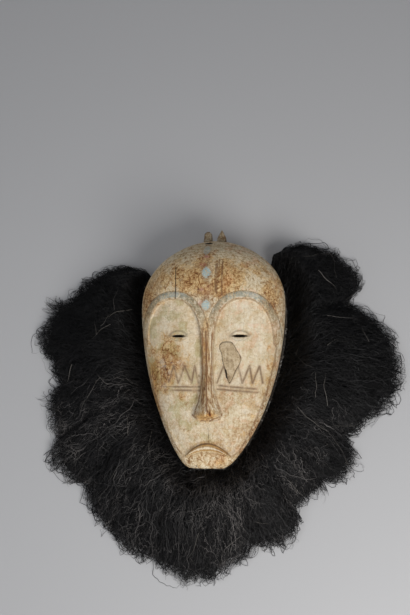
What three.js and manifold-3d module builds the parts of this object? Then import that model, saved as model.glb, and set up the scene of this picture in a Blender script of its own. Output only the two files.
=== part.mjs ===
import * as THREE from 'three';
import { mergeVertices } from 'three/addons/utils/BufferGeometryUtils.js';
import Module from 'manifold-3d';

// A tall carved face mask in a wreath of raffia, lying on the open rim of its hollow back.
// The face is shaped in its own frame, in millimetres: X to the viewer's right, Y from the
// chin up to the crown, Z out of the face. The face is then laid back by faceTilt, so that
// the rim of the back comes to lie flat on Z = 0 and the forehead stands higher than the chin.

// Pose of the lying mask
const faceTilt = THREE.MathUtils.degToRad(14);
const chinDepth = 75; // from the face plane back to the rim, at the chin

// Egg outline of the carved wood, seen from the front
const domeHeight = 448;
const halfWidth = 143;
const widestAt = 308;
const chinRun = 25; // the egg's missing point below the cut chin
const crownFullness = [2.37, 1.72];
const cheekFullness = [1.83, 1.57];
const chinLean = -5;
const chinLeanEnds = 120;
const chinCorner = 5.5; // how far the chin's lower corners are rounded in
const chinCornerEnds = 12;

// Depth of the widest contour behind the face plane
const chinSideDepth = 22;
const browSideDepth = 78;
const crownSideDepth = 125;
const browHeight = 290;

// Middle line of the front
const foreheadBulge = 6;
const chinSetback = 6;
const sectionFullness = 2.6;
const domeFullness = 2.4;

// Wall of the hollow
const sideWall = 13;
const frontWall = 18;
const chinWall = 18;
const crownWall = 16;
const wallSetIn = 11; // how far the wall leans in on its way back
const crownSetIn = 0.955;

// The two sunk cheek panels under the brow arches
const panelCentre = 68;
const panelSpringing = 240;
const panelHalfWidth = 56;
const archRise = 86;
const archFullness = 2.3;
const panelMargin = 8;
const panelStep = 1.2;
const browStep = 5.8;
const noseSideStep = 5;
const lipStep = 2.2;

// Nose
const noseRoot = 296;
const noseWings = 103;
const noseTip = 92;
const noseHeight = 25;
const noseWaist = 10.5;
const noseWingHalf = 28;

// Mouth
const lipTop = 48.5;
const lipCorner = 20;
const lipHalfSpan = 47;
const lipThickness = 13;
const lipHeight = 5;
const mouthGroove = 3.4;

// Eyes
const eyes = [{ x: -57.5, length: 26 }, { x: 61.5, length: 29.5 }];
const eyeHeight = 254;
const eyeOpening = 4.6;

// Incised marks on the cheeks: a row of teeth over a double line. The feet and peaks of
// the teeth run outwards from the nose, and each line has its two ends as [x, y].
const cheeks = [
  {
    side: -1,
    feet: [19, 32, 58, 78, 96],
    peaks: [26, 46, 68, 88],
    lines: [[[15, 156.7], [92, 156.7]], [[15, 150], [92, 150]]],
  },
  {
    side: 1,
    feet: [17, 41.5, 66, 85, 103.5],
    peaks: [30, 58, 79.5, 98],
    lines: [[[20, 159.5], [92, 152.5]], [[18, 152.3], [94, 146]]],
  },
];
const toothBase = 164;
const toothTop = 197;
const lineParts = 3; // each line is cut in straight parts that follow the cheek
const grooveWidth = 2.8;
const grooveDepth = 1.5;

// Two carved lugs on the crown
const lugOffset = 13.5;
const lugWidth = 19;
const lugHeight = 32;
const lugThickness = 15;
const lugDepth = -103;

// The repair plug let into the right cheek, and the split at its foot
const plugOutline = [[23, 237], [28, 242], [38, 242.6], [47, 240.5], [56.5, 225], [63.4, 213],
  [60.6, 200.5], [53, 188], [46.5, 172], [40.4, 165.3], [34, 188], [28.5, 205], [26.5, 220],
  [22.5, 230]];
const plugShrink = 0.955;
const splitPlace = [34.5, 183];
const splitSize = [3.6, 12];

// Twine round the foot of the wall, with a knot between every two bundles
const twineRadius = 2;
const twineHeight = 16;
const knotRadius = 4.2;
const twineSlack = 2.7;

// Raffia: a ring of bundles fanned out round the mask, open at the crown.
// Each bundle has the direction of its two sides, in degrees round the middle of the
// wreath from +X, the reach of its tip and of its sides, and its thickness.
const wreathMiddle = [0, 215];
const bundles = [
  { name: 'raffia_crown_right', from: 28, to: 64, tip: 355, sides: [292, 240], thick: 76 },
  { name: 'raffia_right_upper', from: 8, to: 28, tip: 372, sides: [356, 272], thick: 72 },
  { name: 'raffia_right_middle', from: -8, to: 8, tip: 370, sides: [352, 356], thick: 68 },
  { name: 'raffia_right_lower', from: -30, to: -8, tip: 360, sides: [276, 352], thick: 66 },
  { name: 'raffia_cheek_right', from: -46, to: -30, tip: 336, sides: [294, 296], thick: 66 },
  { name: 'raffia_jaw_right', from: -61, to: -46, tip: 334, sides: [318, 296], thick: 68 },
  { name: 'raffia_chin_right', from: -75, to: -61, tip: 368, sides: [352, 352], thick: 72 },
  { name: 'raffia_chin_middle', from: -90, to: -75, tip: 412, sides: [404, 348], thick: 74 },
  { name: 'raffia_chin_left', from: -106, to: -90, tip: 418, sides: [398, 404], thick: 74 },
  { name: 'raffia_jaw_left', from: -122, to: -106, tip: 404, sides: [384, 398], thick: 72 },
  { name: 'raffia_jaw_outer', from: -138, to: -122, tip: 396, sides: [336, 386], thick: 68 },
  { name: 'raffia_cheek_left', from: -155, to: -138, tip: 376, sides: [338, 338], thick: 66 },
  { name: 'raffia_left_lower', from: -173, to: -155, tip: 362, sides: [322, 340], thick: 66 },
  { name: 'raffia_left_middle', from: -184, to: -173, tip: 354, sides: [350, 320], thick: 66 },
  { name: 'raffia_left_upper', from: -199, to: -184, tip: 374, sides: [350, 358], thick: 68 },
  { name: 'raffia_brow_left', from: -216, to: -199, tip: 360, sides: [312, 350], thick: 70 },
  { name: 'raffia_crown_left', from: -234, to: -216, tip: 330, sides: [240, 312], thick: 66 },
];
const bundleFoot = 8;
const bundleEdge = 4;
const valleyShare = 0.55; // height of a bundle's sides, as a share of its middle
const bundleTipHeight = 14;
const bundleRun = 75; // how far from the wall a bundle reaches its full thickness
const bundleGapAngle = 0.35;
const bundleWallGap = 3.5;

const materials = {
  wood: new THREE.MeshStandardMaterial({ color: 0xcbb892, roughness: 0.78, metalness: 0 }),
  filler: new THREE.MeshStandardMaterial({ color: 0xa08b6c, roughness: 0.86, metalness: 0 }),
  twine: new THREE.MeshStandardMaterial({ color: 0xb9ad92, roughness: 0.9, metalness: 0 }),
  raffia: new THREE.MeshStandardMaterial({ color: 0x1b1917, roughness: 0.82, metalness: 0 }),
};

const wasm = await Module();
wasm.setup();

function smooth(value) {
  const t = THREE.MathUtils.clamp(value, 0, 1);
  return t * t * (3 - 2 * t);
}

function swell(value) {
  return Math.exp(-(Math.max(0, value) ** 2));
}

function fullness(t, [inner, outer]) {
  return Math.max(0, 1 - t ** inner) ** (1 / outer);
}

function halfWidthAt(y) {
  if (y > widestAt) {
    const rise = Math.min(1, (y - widestAt) / (domeHeight - widestAt));
    return halfWidth * fullness(rise, crownFullness);
  }
  const corner = chinCorner * Math.max(0, 1 - y / chinCornerEnds) ** 2;
  return halfWidth * fullness((widestAt - y) / (widestAt + chinRun), cheekFullness) - corner;
}

function leanAt(y) {
  return chinLean * Math.max(0, 1 - y / chinLeanEnds) ** 2;
}

function sideDepthAt(y) {
  if (y < browHeight) {
    const rest = (1 - Math.max(0, y) / browHeight) ** 1.4;
    return -(browSideDepth - (browSideDepth - chinSideDepth) * rest);
  }
  const rise = (y - browHeight) / (domeHeight - browHeight);
  return -(browSideDepth + (crownSideDepth - browSideDepth) * rise ** 1.5);
}

function middleDepthAt(y) {
  if (y < 300) {
    const chin = chinSetback * Math.max(0, 1 - y / 120) ** 2;
    return foreheadBulge * smooth((y - 190) / 110) - chin;
  }
  const rise = Math.min(1, (y - 300) / (domeHeight - 300));
  const drop = 1 - Math.sqrt(Math.max(0, 1 - rise ** domeFullness));
  return foreheadBulge - (foreheadBulge + crownSideDepth) * drop;
}

// The front of the wood before the panels are sunk
function frontAt(x, y) {
  const half = halfWidthAt(y);
  const across = half > 0 ? Math.min(1, Math.abs(x - leanAt(y)) / half) : 0;
  const drop = 1 - Math.sqrt(1 - across ** sectionFullness);
  const middle = middleDepthAt(y);
  return middle - (middle - sideDepthAt(y)) * drop;
}

// How deep the panels are sunk below that front
function reliefAt(x, y) {
  const side = Math.abs(x);
  const brow = browStep * smooth((y - 170) / 130) * (1 - 0.6 * smooth((side - 95) / 30));
  const nose = noseSideStep * swell((side - 12) / 26) * smooth((y - 60) / 60);
  const lip = lipStep * swell((y - lipTop) / 22);
  return panelStep + brow + nose + lip;
}

function panelFloorAt(x, y) {
  return frontAt(x, y) - reliefAt(x, y);
}

function noseHalfWidthAt(y) {
  const flare = Math.max(0, 1 - (y - noseWings) / 92) ** 2.2;
  return noseWaist + (noseWingHalf - noseWaist) * flare + 1.5 * smooth((y - 190) / 60);
}

function upperLipAt(x) {
  return lipTop - (lipTop - lipCorner) * Math.min(1.2, Math.abs(x + 1) / lipHalfSpan) ** 1.9;
}

function mouthLineAt(x) {
  const top = lipTop - lipThickness;
  return top - (top - lipCorner + 1) * Math.min(1.2, Math.abs(x + 1) / lipHalfSpan) ** 2.2;
}

function solidFrom(geometry) {
  const plain = geometry.index ? geometry : geometry.clone();
  plain.deleteAttribute('normal');
  plain.deleteAttribute('uv');
  const merged = mergeVertices(plain, 1e-4);
  const points = merged.attributes.position;
  const corners = [];
  for (let i = 0; i < merged.index.count; i += 3) {
    const [a, b, c] = [0, 1, 2].map((k) => merged.index.getX(i + k));
    if (a !== b && b !== c && c !== a) {
      corners.push(a, b, c);
    }
  }
  return new wasm.Manifold(new wasm.Mesh({
    numProp: 3,
    vertProperties: new Float32Array(points.array),
    triVerts: new Uint32Array(corners),
  }));
}

function geometryFrom(solid) {
  const mesh = solid.getMesh();
  const geometry = new THREE.BufferGeometry();
  geometry.setAttribute('position', new THREE.BufferAttribute(mesh.vertProperties, 3));
  geometry.setIndex(new THREE.BufferAttribute(mesh.triVerts, 1));
  geometry.computeVertexNormals();
  return geometry;
}

// A closed slab between two surfaces over one grid, front(u, v) over back(u, v), 0 to 1
function slab(columns, rows, front, back) {
  const positions = [];
  const indices = [];
  const wide = columns + 1;
  const layer = wide * (rows + 1);
  for (const surface of [front, back]) {
    for (let j = 0; j <= rows; j += 1) {
      for (let i = 0; i <= columns; i += 1) {
        positions.push(...surface(i / columns, j / rows));
      }
    }
  }
  const quad = (a, b, c, d) => indices.push(a, b, c, a, c, d);
  for (let j = 0; j < rows; j += 1) {
    for (let i = 0; i < columns; i += 1) {
      const a = j * wide + i;
      quad(a, a + 1, a + wide + 1, a + wide);
      quad(layer + a, layer + a + wide, layer + a + wide + 1, layer + a + 1);
    }
  }
  for (let i = 0; i < columns; i += 1) {
    const top = rows * wide + i;
    quad(i, layer + i, layer + i + 1, i + 1);
    quad(top + 1, layer + top + 1, layer + top, top);
  }
  for (let j = 0; j < rows; j += 1) {
    const left = j * wide;
    const right = left + columns;
    quad(left + wide, layer + left + wide, layer + left, left);
    quad(right, layer + right, layer + right + wide, right + wide);
  }
  const geometry = new THREE.BufferGeometry();
  geometry.setAttribute('position', new THREE.Float32BufferAttribute(positions, 3));
  geometry.setIndex(indices);
  return geometry;
}

function rimDepthAt(y) {
  return -chinDepth - y * Math.tan(faceTilt);
}

// Fuller spacing of the columns towards the turned sides
function acrossAt(u) {
  return Math.sin((u - 0.5) * Math.PI);
}

function heightAt(v) {
  return domeHeight * Math.sin(v * Math.PI / 2) ** 1.15;
}

function outerFront(u, v) {
  const y = heightAt(v);
  const x = leanAt(y) + halfWidthAt(y) * acrossAt(u);
  return [x, y, frontAt(x, y)];
}

function outerBack(u, v) {
  const y = heightAt(v);
  const half = Math.max(0, halfWidthAt(y) - wallSetIn);
  const low = y * crownSetIn;
  return [leanAt(y) + half * acrossAt(u), low, rimDepthAt(low) - 22];
}

function hollowFront(u, v) {
  const y = heightAt(v);
  const half = Math.max(0, halfWidthAt(y) - sideWall);
  const along = chinWall + y * (domeHeight - chinWall - crownWall) / domeHeight;
  const x = leanAt(y) + halfWidthAt(y) * acrossAt(u);
  return [leanAt(y) + half * acrossAt(u), along, frontAt(x, y) - frontWall];
}

function hollowBack(u, v) {
  const y = heightAt(v);
  const half = Math.max(0, halfWidthAt(y) - sideWall - wallSetIn);
  const low = chinWall + (hollowFront(u, v)[1] - chinWall) * crownSetIn;
  return [leanAt(y) + half * acrossAt(u), low, rimDepthAt(low) - 40];
}

function panelOutline() {
  const points = [];
  const archSteps = 18;
  for (let i = 0; i <= archSteps; i += 1) {
    const angle = Math.PI * (1 - i / archSteps);
    const power = 2 / archFullness;
    const x = panelCentre + panelHalfWidth * Math.sign(Math.cos(angle)) * Math.abs(Math.cos(angle)) ** power;
    points.push([x, panelSpringing + archRise * Math.sin(angle) ** power]);
  }
  for (const y of [222, 205, 185, 160, 135, 110, 85, 60, 40, 26]) {
    points.push([halfWidthAt(y) - panelMargin, y]);
  }
  for (const x of [44, 36, 28, 20, 10, -3]) {
    points.push([x, upperLipAt(x)]);
  }
  points.push([-3, noseTip]);
  for (const y of [noseTip + 3, noseWings, 112, 124, 140, 160, 190, 215]) {
    points.push([noseHalfWidthAt(Math.max(y, noseWings)) - (y < noseWings ? 9 : 0), y]);
  }
  return points;
}

// The volume that sinks one panel: its floor follows the face, and it is open to the front
function panelCutter(side) {
  const outline = panelOutline();
  const middle = [56, 165];
  const rings = 5;
  const place = (u, v) => {
    const index = Math.round(u * outline.length) % outline.length;
    const [ex, ey] = outline[index];
    const x = side * (middle[0] + (ex - middle[0]) * v);
    const y = middle[1] + (ey - middle[1]) * v;
    return [x, y];
  };
  const positions = [];
  const indices = [];
  const count = outline.length;
  for (let ring = 1; ring <= rings; ring += 1) {
    for (let i = 0; i < count; i += 1) {
      const [x, y] = place(i / count, ring / rings);
      positions.push(x, y, panelFloorAt(x, y));
    }
  }
  for (let i = 0; i < count; i += 1) {
    const [x, y] = place(i / count, 1);
    positions.push(x, y, 60);
  }
  const floorMiddle = positions.length / 3;
  positions.push(side * middle[0], middle[1], panelFloorAt(side * middle[0], middle[1]));
  positions.push(side * middle[0], middle[1], 60);
  const push = (a, b, c) => (side > 0 ? indices.push(a, b, c) : indices.push(a, c, b));
  for (let i = 0; i < count; i += 1) {
    const next = (i + 1) % count;
    push(floorMiddle, i, next);
    push(floorMiddle + 1, rings * count + next, rings * count + i);
    for (let ring = 0; ring < rings; ring += 1) {
      const low = ring * count;
      const high = low + count;
      push(low + i, high + i, high + next);
      push(low + i, high + next, low + next);
    }
  }
  const geometry = new THREE.BufferGeometry();
  geometry.setAttribute('position', new THREE.Float32BufferAttribute(positions, 3));
  geometry.setIndex(indices);
  return solidFrom(geometry);
}

function noseRidgeAt(y) {
  const rise = Math.max(0, (noseRoot - y) / (noseRoot - noseWings));
  return y < noseWings ? noseHeight * (1 - 0.35 * (noseWings - y) / (noseWings - noseTip)) : noseHeight * rise ** 2.1;
}

function noseFront(u, v) {
  const y = noseTip + (noseRoot - noseTip) * v ** 1.5;
  const across = u * 2 - 1;
  const under = Math.min(1, Math.max(0, (noseWings - y) / (noseWings - noseTip)));
  const half = noseHalfWidthAt(Math.max(y, noseWings)) * (1 - 0.45 * under);
  const round = 1 - Math.abs(across) ** 1.7;
  const x = half * across;
  return [x, y, frontAt(x, y) + 0.4 + noseRidgeAt(y) * round];
}

function noseBack(u, v) {
  const [x, y] = noseFront(u, v);
  return [x, y, frontAt(x, y) - 15];
}

function lipFront(u, v) {
  const x = -1 + (u * 2 - 1) * lipHalfSpan;
  const y = mouthLineAt(x) + (upperLipAt(x) - mouthLineAt(x)) * v;
  const round = Math.sqrt(Math.max(0, 1 - (v * 2 - 1) ** 2));
  const ends = Math.sqrt(Math.max(0, 1 - (u * 2 - 1) ** 4));
  return [x, y, frontAt(x, y) - 0.5 + lipHeight * round * ends];
}

function lipBack(u, v) {
  const [x, y] = lipFront(u, v);
  return [x, y, frontAt(x, y) - 8];
}

// A straight V-cut of the given width and depth between two places on the panel floor
function grooveBetween(from, to, width, depth) {
  const ends = [from, to].map(([x, y]) => new THREE.Vector3(x, y, panelFloorAt(x, y)));
  const along = new THREE.Vector3().subVectors(ends[1], ends[0]);
  const across = new THREE.Vector3().crossVectors(new THREE.Vector3(0, 0, 1), along).normalize();
  const out = new THREE.Vector3().crossVectors(along, across).normalize();
  const lift = 2.5;
  const mouth = width / 2 * (depth + lift) / depth;
  const section = new THREE.Shape([
    new THREE.Vector2(0, -depth),
    new THREE.Vector2(mouth, lift),
    new THREE.Vector2(-mouth, lift),
  ]);
  const geometry = new THREE.ExtrudeGeometry(section, { depth: along.length(), bevelEnabled: false });
  const frame = new THREE.Matrix4().makeBasis(across, out, along.clone().normalize());
  geometry.applyMatrix4(frame.setPosition(ends[0]));
  return solidFrom(geometry);
}

function cheekMarks({ side, feet, peaks, lines }) {
  const cuts = [];
  peaks.forEach((peak, index) => {
    const top = [side * peak, toothTop];
    cuts.push([[side * feet[index], toothBase], top]);
    cuts.push([top, [side * feet[index + 1], toothBase]]);
  });
  for (const [near, far] of lines) {
    const at = (k) => {
      const share = k / lineParts;
      return [side * (near[0] + (far[0] - near[0]) * share), near[1] + (far[1] - near[1]) * share];
    };
    for (let k = 0; k < lineParts; k += 1) {
      cuts.push([at(k), at(k + 1)]);
    }
  }
  return cuts.map(([from, to]) => grooveBetween(from, to, grooveWidth, grooveDepth));
}

function mouthCut() {
  const steps = 6;
  const cuts = [];
  const at = (i) => -1 + (i / steps * 2 - 1) * (lipHalfSpan - 4);
  for (let i = 0; i < steps; i += 1) {
    const [a, b] = [at(i), at(i + 1)];
    const drop = (x) => [x, mouthLineAt(x) - 1];
    cuts.push(grooveBetween(drop(a), drop(b), mouthGroove, 1.2));
  }
  return cuts;
}

function eyeCutter({ x, length }) {
  const shape = new THREE.Shape();
  const start = x - length / 2;
  shape.moveTo(start, eyeHeight);
  shape.quadraticCurveTo(x, eyeHeight - eyeOpening, start + length, eyeHeight);
  shape.quadraticCurveTo(x, eyeHeight + eyeOpening, start, eyeHeight);
  const geometry = new THREE.ExtrudeGeometry(shape, { depth: 110, bevelEnabled: false, curveSegments: 6 });
  geometry.translate(0, 0, -80);
  return solidFrom(geometry);
}

function plugPrism(scale) {
  const centre = new THREE.Vector2();
  const points = plugOutline.map(([x, y]) => new THREE.Vector2(x, y));
  points.forEach((point) => centre.addScaledVector(point, 1 / points.length));
  const scaled = points.map((point) => point.clone().sub(centre).multiplyScalar(scale).add(centre));
  const geometry = new THREE.ExtrudeGeometry(new THREE.Shape(scaled), { depth: 90, bevelEnabled: false });
  geometry.translate(0, 0, -60);
  return solidFrom(geometry);
}

function splitCutter() {
  const geometry = new THREE.CylinderGeometry(0.5, 0.5, 90, 8);
  geometry.rotateX(Math.PI / 2);
  geometry.scale(splitSize[0], splitSize[1], 1);
  geometry.translate(splitPlace[0], splitPlace[1], -15);
  return solidFrom(geometry);
}

function lug(side) {
  const tall = side > 0 ? lugHeight : lugHeight * 0.9;
  const half = lugWidth / 2;
  const shape = new THREE.Shape();
  shape.moveTo(-half, 0);
  shape.lineTo(half, 0);
  if (side > 0) {
    shape.lineTo(half * 0.94, tall * 0.5);
    shape.lineTo(half * 0.25, tall);
    shape.lineTo(-half * 0.15, tall * 0.92);
    shape.lineTo(-half * 0.85, tall * 0.45);
  } else {
    shape.lineTo(half * 0.86, tall * 0.75);
    shape.lineTo(half * 0.5, tall);
    shape.lineTo(0, tall * 0.93);
    shape.lineTo(-half * 0.55, tall);
    shape.lineTo(-half * 0.9, tall * 0.7);
  }
  const bevel = { bevelThickness: 2.5, bevelSize: 2, bevelOffset: -2, bevelSegments: 1 };
  const geometry = new THREE.ExtrudeGeometry(shape, { depth: lugThickness - 5, ...bevel });
  geometry.translate(side * lugOffset, domeHeight - 12, lugDepth - lugThickness / 2 + 2.5);
  return solidFrom(geometry);
}

// Everything under the surface that the mask lies on
function belowFloor() {
  const size = 2000;
  const geometry = new THREE.BoxGeometry(size, size, size);
  return geometry.translate(0, 0, -size / 2);
}

// The same, in the face's frame: everything behind the flat rim
function behindRim() {
  return solidFrom(belowFloor().applyMatrix4(layingMatrix().invert()));
}

function layingMatrix() {
  const matrix = new THREE.Matrix4().makeRotationX(faceTilt);
  return matrix.setPosition(0, 0, chinDepth * Math.cos(faceTilt));
}

function carvedSolids() {
  let wood = solidFrom(slab(20, 26, outerFront, outerBack));
  for (const side of [-1, 1]) {
    wood = wood.subtract(panelCutter(side));
  }
  wood = wood.add(solidFrom(slab(8, 14, noseFront, noseBack)));
  wood = wood.add(solidFrom(slab(12, 4, lipFront, lipBack)));
  wood = wood.add(lug(-1)).add(lug(1));
  wood = wood.subtract(solidFrom(slab(12, 15, hollowFront, hollowBack)));
  wood = wood.subtract(behindRim());
  for (const eye of eyes) {
    wood = wood.subtract(eyeCutter(eye));
  }
  for (const cheek of cheeks) {
    for (const cut of cheekMarks(cheek)) {
      wood = wood.subtract(cut);
    }
  }
  for (const cut of mouthCut()) {
    wood = wood.subtract(cut);
  }
  const split = splitCutter();
  const plug = wood.intersect(plugPrism(plugShrink)).subtract(split);
  const mask = wood.subtract(plugPrism(1)).subtract(split);
  return { mask, plug };
}

// A level line round the wall of the mask, in the lying frame, as [x, y] corners
function wallLineAt(level) {
  const laid = layingMatrix();
  const steps = 60;
  const line = [];
  const corner = (u, v) => {
    const high = new THREE.Vector3(...outerFront(u, v)).applyMatrix4(laid);
    const low = new THREE.Vector3(...outerBack(u, v)).applyMatrix4(laid);
    const at = (level - low.z) / (high.z - low.z);
    line.push([low.x + (high.x - low.x) * at, low.y + (high.y - low.y) * at]);
  };
  for (let i = 1; i <= steps; i += 1) {
    corner(1, i / steps);
  }
  for (let i = steps - 1; i >= 0; i -= 1) {
    corner(0, i / steps);
  }
  for (let i = 1; i < 12; i += 1) {
    corner(i / 12, 0);
  }
  corner(1, 0);
  return line;
}

// Distance from the middle of the wreath, in one direction, to the line set out by a gap
function reachBeyond(line, angle, gap) {
  const [dx, dy] = [Math.cos(angle), Math.sin(angle)];
  let reach = 0;
  line.forEach(([ax, ay], index) => {
    const [bx, by] = line[(index + 1) % line.length];
    const length = Math.hypot(bx - ax, by - ay);
    if (length < 1e-6) {
      return;
    }
    const [ex, ey] = [(bx - ax) / length, (by - ay) / length];
    const side = Math.sign((ax - wreathMiddle[0]) * ey - (ay - wreathMiddle[1]) * ex);
    const [px, py] = [ax - wreathMiddle[0] + side * ey * gap, ay - wreathMiddle[1] - side * ex * gap];
    const turn = dx * ey - dy * ex;
    const along = (px * ey - py * ex) / turn;
    const at = (px * dy - py * dx) / turn;
    if (Math.abs(turn) > 1e-9 && along > 0 && at >= -gap && at <= length + gap) {
      reach = Math.max(reach, along);
    }
  });
  return reach;
}

function polar(angle, reach, height) {
  const [x, y] = wreathMiddle;
  return [x + Math.cos(angle) * reach, y + Math.sin(angle) * reach, height];
}

// One flattened fan of fibres: flat below, crowned above, thin where it is tied
function raffiaBundle({ from, to, tip, sides, thick }, footLine) {
  const rad = THREE.MathUtils.degToRad;
  const angleAt = (v) => rad(from + bundleGapAngle + (to - from - 2 * bundleGapAngle) * v);
  const outerReach = (v) => {
    const across = v * 2 - 1;
    const edge = sides[0] + (sides[1] - sides[0]) * v;
    return edge + (tip - Math.max(...sides)) * Math.sqrt(Math.max(0, 1 - Math.abs(across) ** 2.2));
  };
  const reachAt = (u, v) => {
    const foot = reachBeyond(footLine, angleAt(v), bundleWallGap);
    return foot + (outerReach(v) - foot) * u;
  };
  const heightOver = (u, v) => {
    const foot = reachBeyond(footLine, angleAt(v), bundleWallGap);
    const run = (outerReach(v) - foot) * u;
    const rise = smooth(run / bundleRun);
    const fall = 1 - smooth((u - 0.45) / 0.55);
    const full = bundleFoot + (thick - bundleFoot) * rise * fall + (bundleTipHeight - bundleFoot) * (1 - fall);
    const round = Math.sqrt(Math.max(0, 1 - Math.abs(v * 2 - 1) ** 3));
    const crown = valleyShare * rise + (1 - valleyShare * rise) * round;
    return bundleEdge + (full - bundleEdge) * crown;
  };
  const spread = (u) => u ** 1.25;
  const fan = slab(
    7,
    6,
    (u, v) => polar(angleAt(v), reachAt(spread(u), v), heightOver(spread(u), v)),
    (u, v) => polar(angleAt(v), reachAt(spread(u), v), -bundleEdge),
  );
  return solidFrom(fan).subtract(solidFrom(belowFloor()));
}

// The tying twine: one run round the wall from bundle to bundle, with its knots
function tiedTwine(wall) {
  const rad = THREE.MathUtils.degToRad;
  const place = (degrees, out) => {
    const angle = rad(degrees);
    return new THREE.Vector3(...polar(angle, reachBeyond(wall, angle, out), twineHeight));
  };
  const first = bundles[bundles.length - 1].from + 4;
  const last = bundles[0].to - 4;
  const steps = 68;
  const route = [];
  for (let i = 0; i <= steps; i += 1) {
    route.push(place(first + (last - first) * i / steps, twineRadius + twineSlack));
  }
  const corners = [0, 1, 2, 3, 4].map((k) => {
    const turn = k / 5 * Math.PI * 2;
    return new THREE.Vector2(Math.cos(turn) * twineRadius, Math.sin(turn) * twineRadius);
  });
  const geometry = new THREE.ExtrudeGeometry(new THREE.Shape(corners), {
    steps,
    bevelEnabled: false,
    extrudePath: new THREE.CatmullRomCurve3(route),
  });
  let twine = solidFrom(geometry);
  for (const { from } of bundles.slice(0, -1)) {
    const knot = new THREE.OctahedronGeometry(knotRadius, 0);
    knot.translate(...place(from, knotRadius + twineSlack).toArray());
    twine = twine.add(solidFrom(knot));
  }
  return twine;
}

function namedMesh(name, geometry, material) {
  const mesh = new THREE.Mesh(geometry, material);
  mesh.name = name;
  return mesh;
}

const group = new THREE.Group();
const laidMask = new THREE.Group();
laidMask.applyMatrix4(layingMatrix());
const { mask, plug } = carvedSolids();
laidMask.add(namedMesh('carved_mask', geometryFrom(mask), materials.wood));
laidMask.add(namedMesh('cheek_repair_plug', geometryFrom(plug), materials.filler));
group.add(laidMask);

const footLine = wallLineAt(bundleFoot);
for (const bundle of bundles) {
  const fan = geometryFrom(raffiaBundle(bundle, footLine));
  group.add(namedMesh(bundle.name, fan, materials.raffia));
}
group.add(namedMesh('tying_twine', geometryFrom(tiedTwine(wallLineAt(twineHeight))), materials.twine));

// The origin is under the middle of the whole object
const extent = new THREE.Box3().setFromObject(group, true);
const middle = extent.getCenter(new THREE.Vector3());
group.position.set(-middle.x, -middle.y, 0);

export default group;
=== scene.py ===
import math
from collections import namedtuple

import bmesh
import bpy
import numpy as np
from mathutils import Matrix, Vector


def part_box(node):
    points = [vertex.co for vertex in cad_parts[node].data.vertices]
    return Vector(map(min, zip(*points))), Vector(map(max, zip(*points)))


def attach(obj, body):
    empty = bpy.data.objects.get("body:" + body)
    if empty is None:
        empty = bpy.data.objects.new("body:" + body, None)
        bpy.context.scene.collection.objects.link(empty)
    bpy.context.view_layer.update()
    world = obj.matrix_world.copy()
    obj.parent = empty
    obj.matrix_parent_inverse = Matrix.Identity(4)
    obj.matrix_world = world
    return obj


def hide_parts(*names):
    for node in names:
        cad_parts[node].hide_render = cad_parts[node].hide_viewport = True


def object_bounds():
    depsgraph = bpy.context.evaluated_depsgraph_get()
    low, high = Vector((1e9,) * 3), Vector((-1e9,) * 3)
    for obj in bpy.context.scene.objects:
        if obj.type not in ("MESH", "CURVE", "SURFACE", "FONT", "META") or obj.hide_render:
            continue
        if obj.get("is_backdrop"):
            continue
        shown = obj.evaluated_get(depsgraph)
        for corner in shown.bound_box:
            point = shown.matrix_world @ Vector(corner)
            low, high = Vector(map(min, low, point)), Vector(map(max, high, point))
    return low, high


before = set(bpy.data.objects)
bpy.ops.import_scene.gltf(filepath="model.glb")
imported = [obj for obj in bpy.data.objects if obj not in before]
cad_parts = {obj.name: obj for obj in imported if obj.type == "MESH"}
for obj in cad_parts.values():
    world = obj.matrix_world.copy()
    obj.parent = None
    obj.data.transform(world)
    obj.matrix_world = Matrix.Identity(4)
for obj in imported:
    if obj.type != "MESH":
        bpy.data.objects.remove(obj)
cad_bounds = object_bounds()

# A tall carved face mask in a wreath of dark raffia, lying on its back.
# The face is shaped in its own frame, in millimetres, as the model's source does:
# X to the viewer's right, Y from the chin to the crown, Z out of the face.

MM = 0.001

# Pose of the lying mask
FACE_TILT = math.radians(14)
CHIN_DEPTH = 75.0

# Egg outline of the wood
DOME_HEIGHT = 448.0
HALF_WIDTH = 143.0
WIDEST_AT = 308.0
CHIN_RUN = 25.0
CROWN_FULLNESS = (2.37, 1.72)
CHEEK_FULLNESS = (1.83, 1.57)
CHIN_LEAN = -5.0
CHIN_LEAN_ENDS = 120.0
CHIN_CORNER = 5.5
CHIN_CORNER_ENDS = 12.0

# Depth of the widest contour and of the middle line
CHIN_SIDE_DEPTH = 22.0
BROW_SIDE_DEPTH = 78.0
CROWN_SIDE_DEPTH = 125.0
BROW_HEIGHT = 290.0
FOREHEAD_BULGE = 6.0
CHIN_SETBACK = 6.0
SECTION_FULLNESS = 2.6
DOME_FULLNESS = 2.4

# Wall of the hollow
SIDE_WALL = 13.0
FRONT_WALL = 18.0
CHIN_WALL = 18.0
CROWN_WALL = 16.0
WALL_SET_IN = 11.0
CROWN_SET_IN = 0.955

# Cheek panels under the brow arches
PANEL_CENTRE = 68.0
PANEL_SPRINGING = 240.0
PANEL_HALF_WIDTH = 56.0
ARCH_RISE = 86.0
ARCH_FULLNESS = 2.3
ARCH_STEPS = 44
PANEL_MARGIN = 8.0
PANEL_STEP = 1.2
BROW_STEP = 5.8
NOSE_SIDE_STEP = 5.0
LIP_STEP = 2.2
BAND_WIDTH = 14.5

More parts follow.
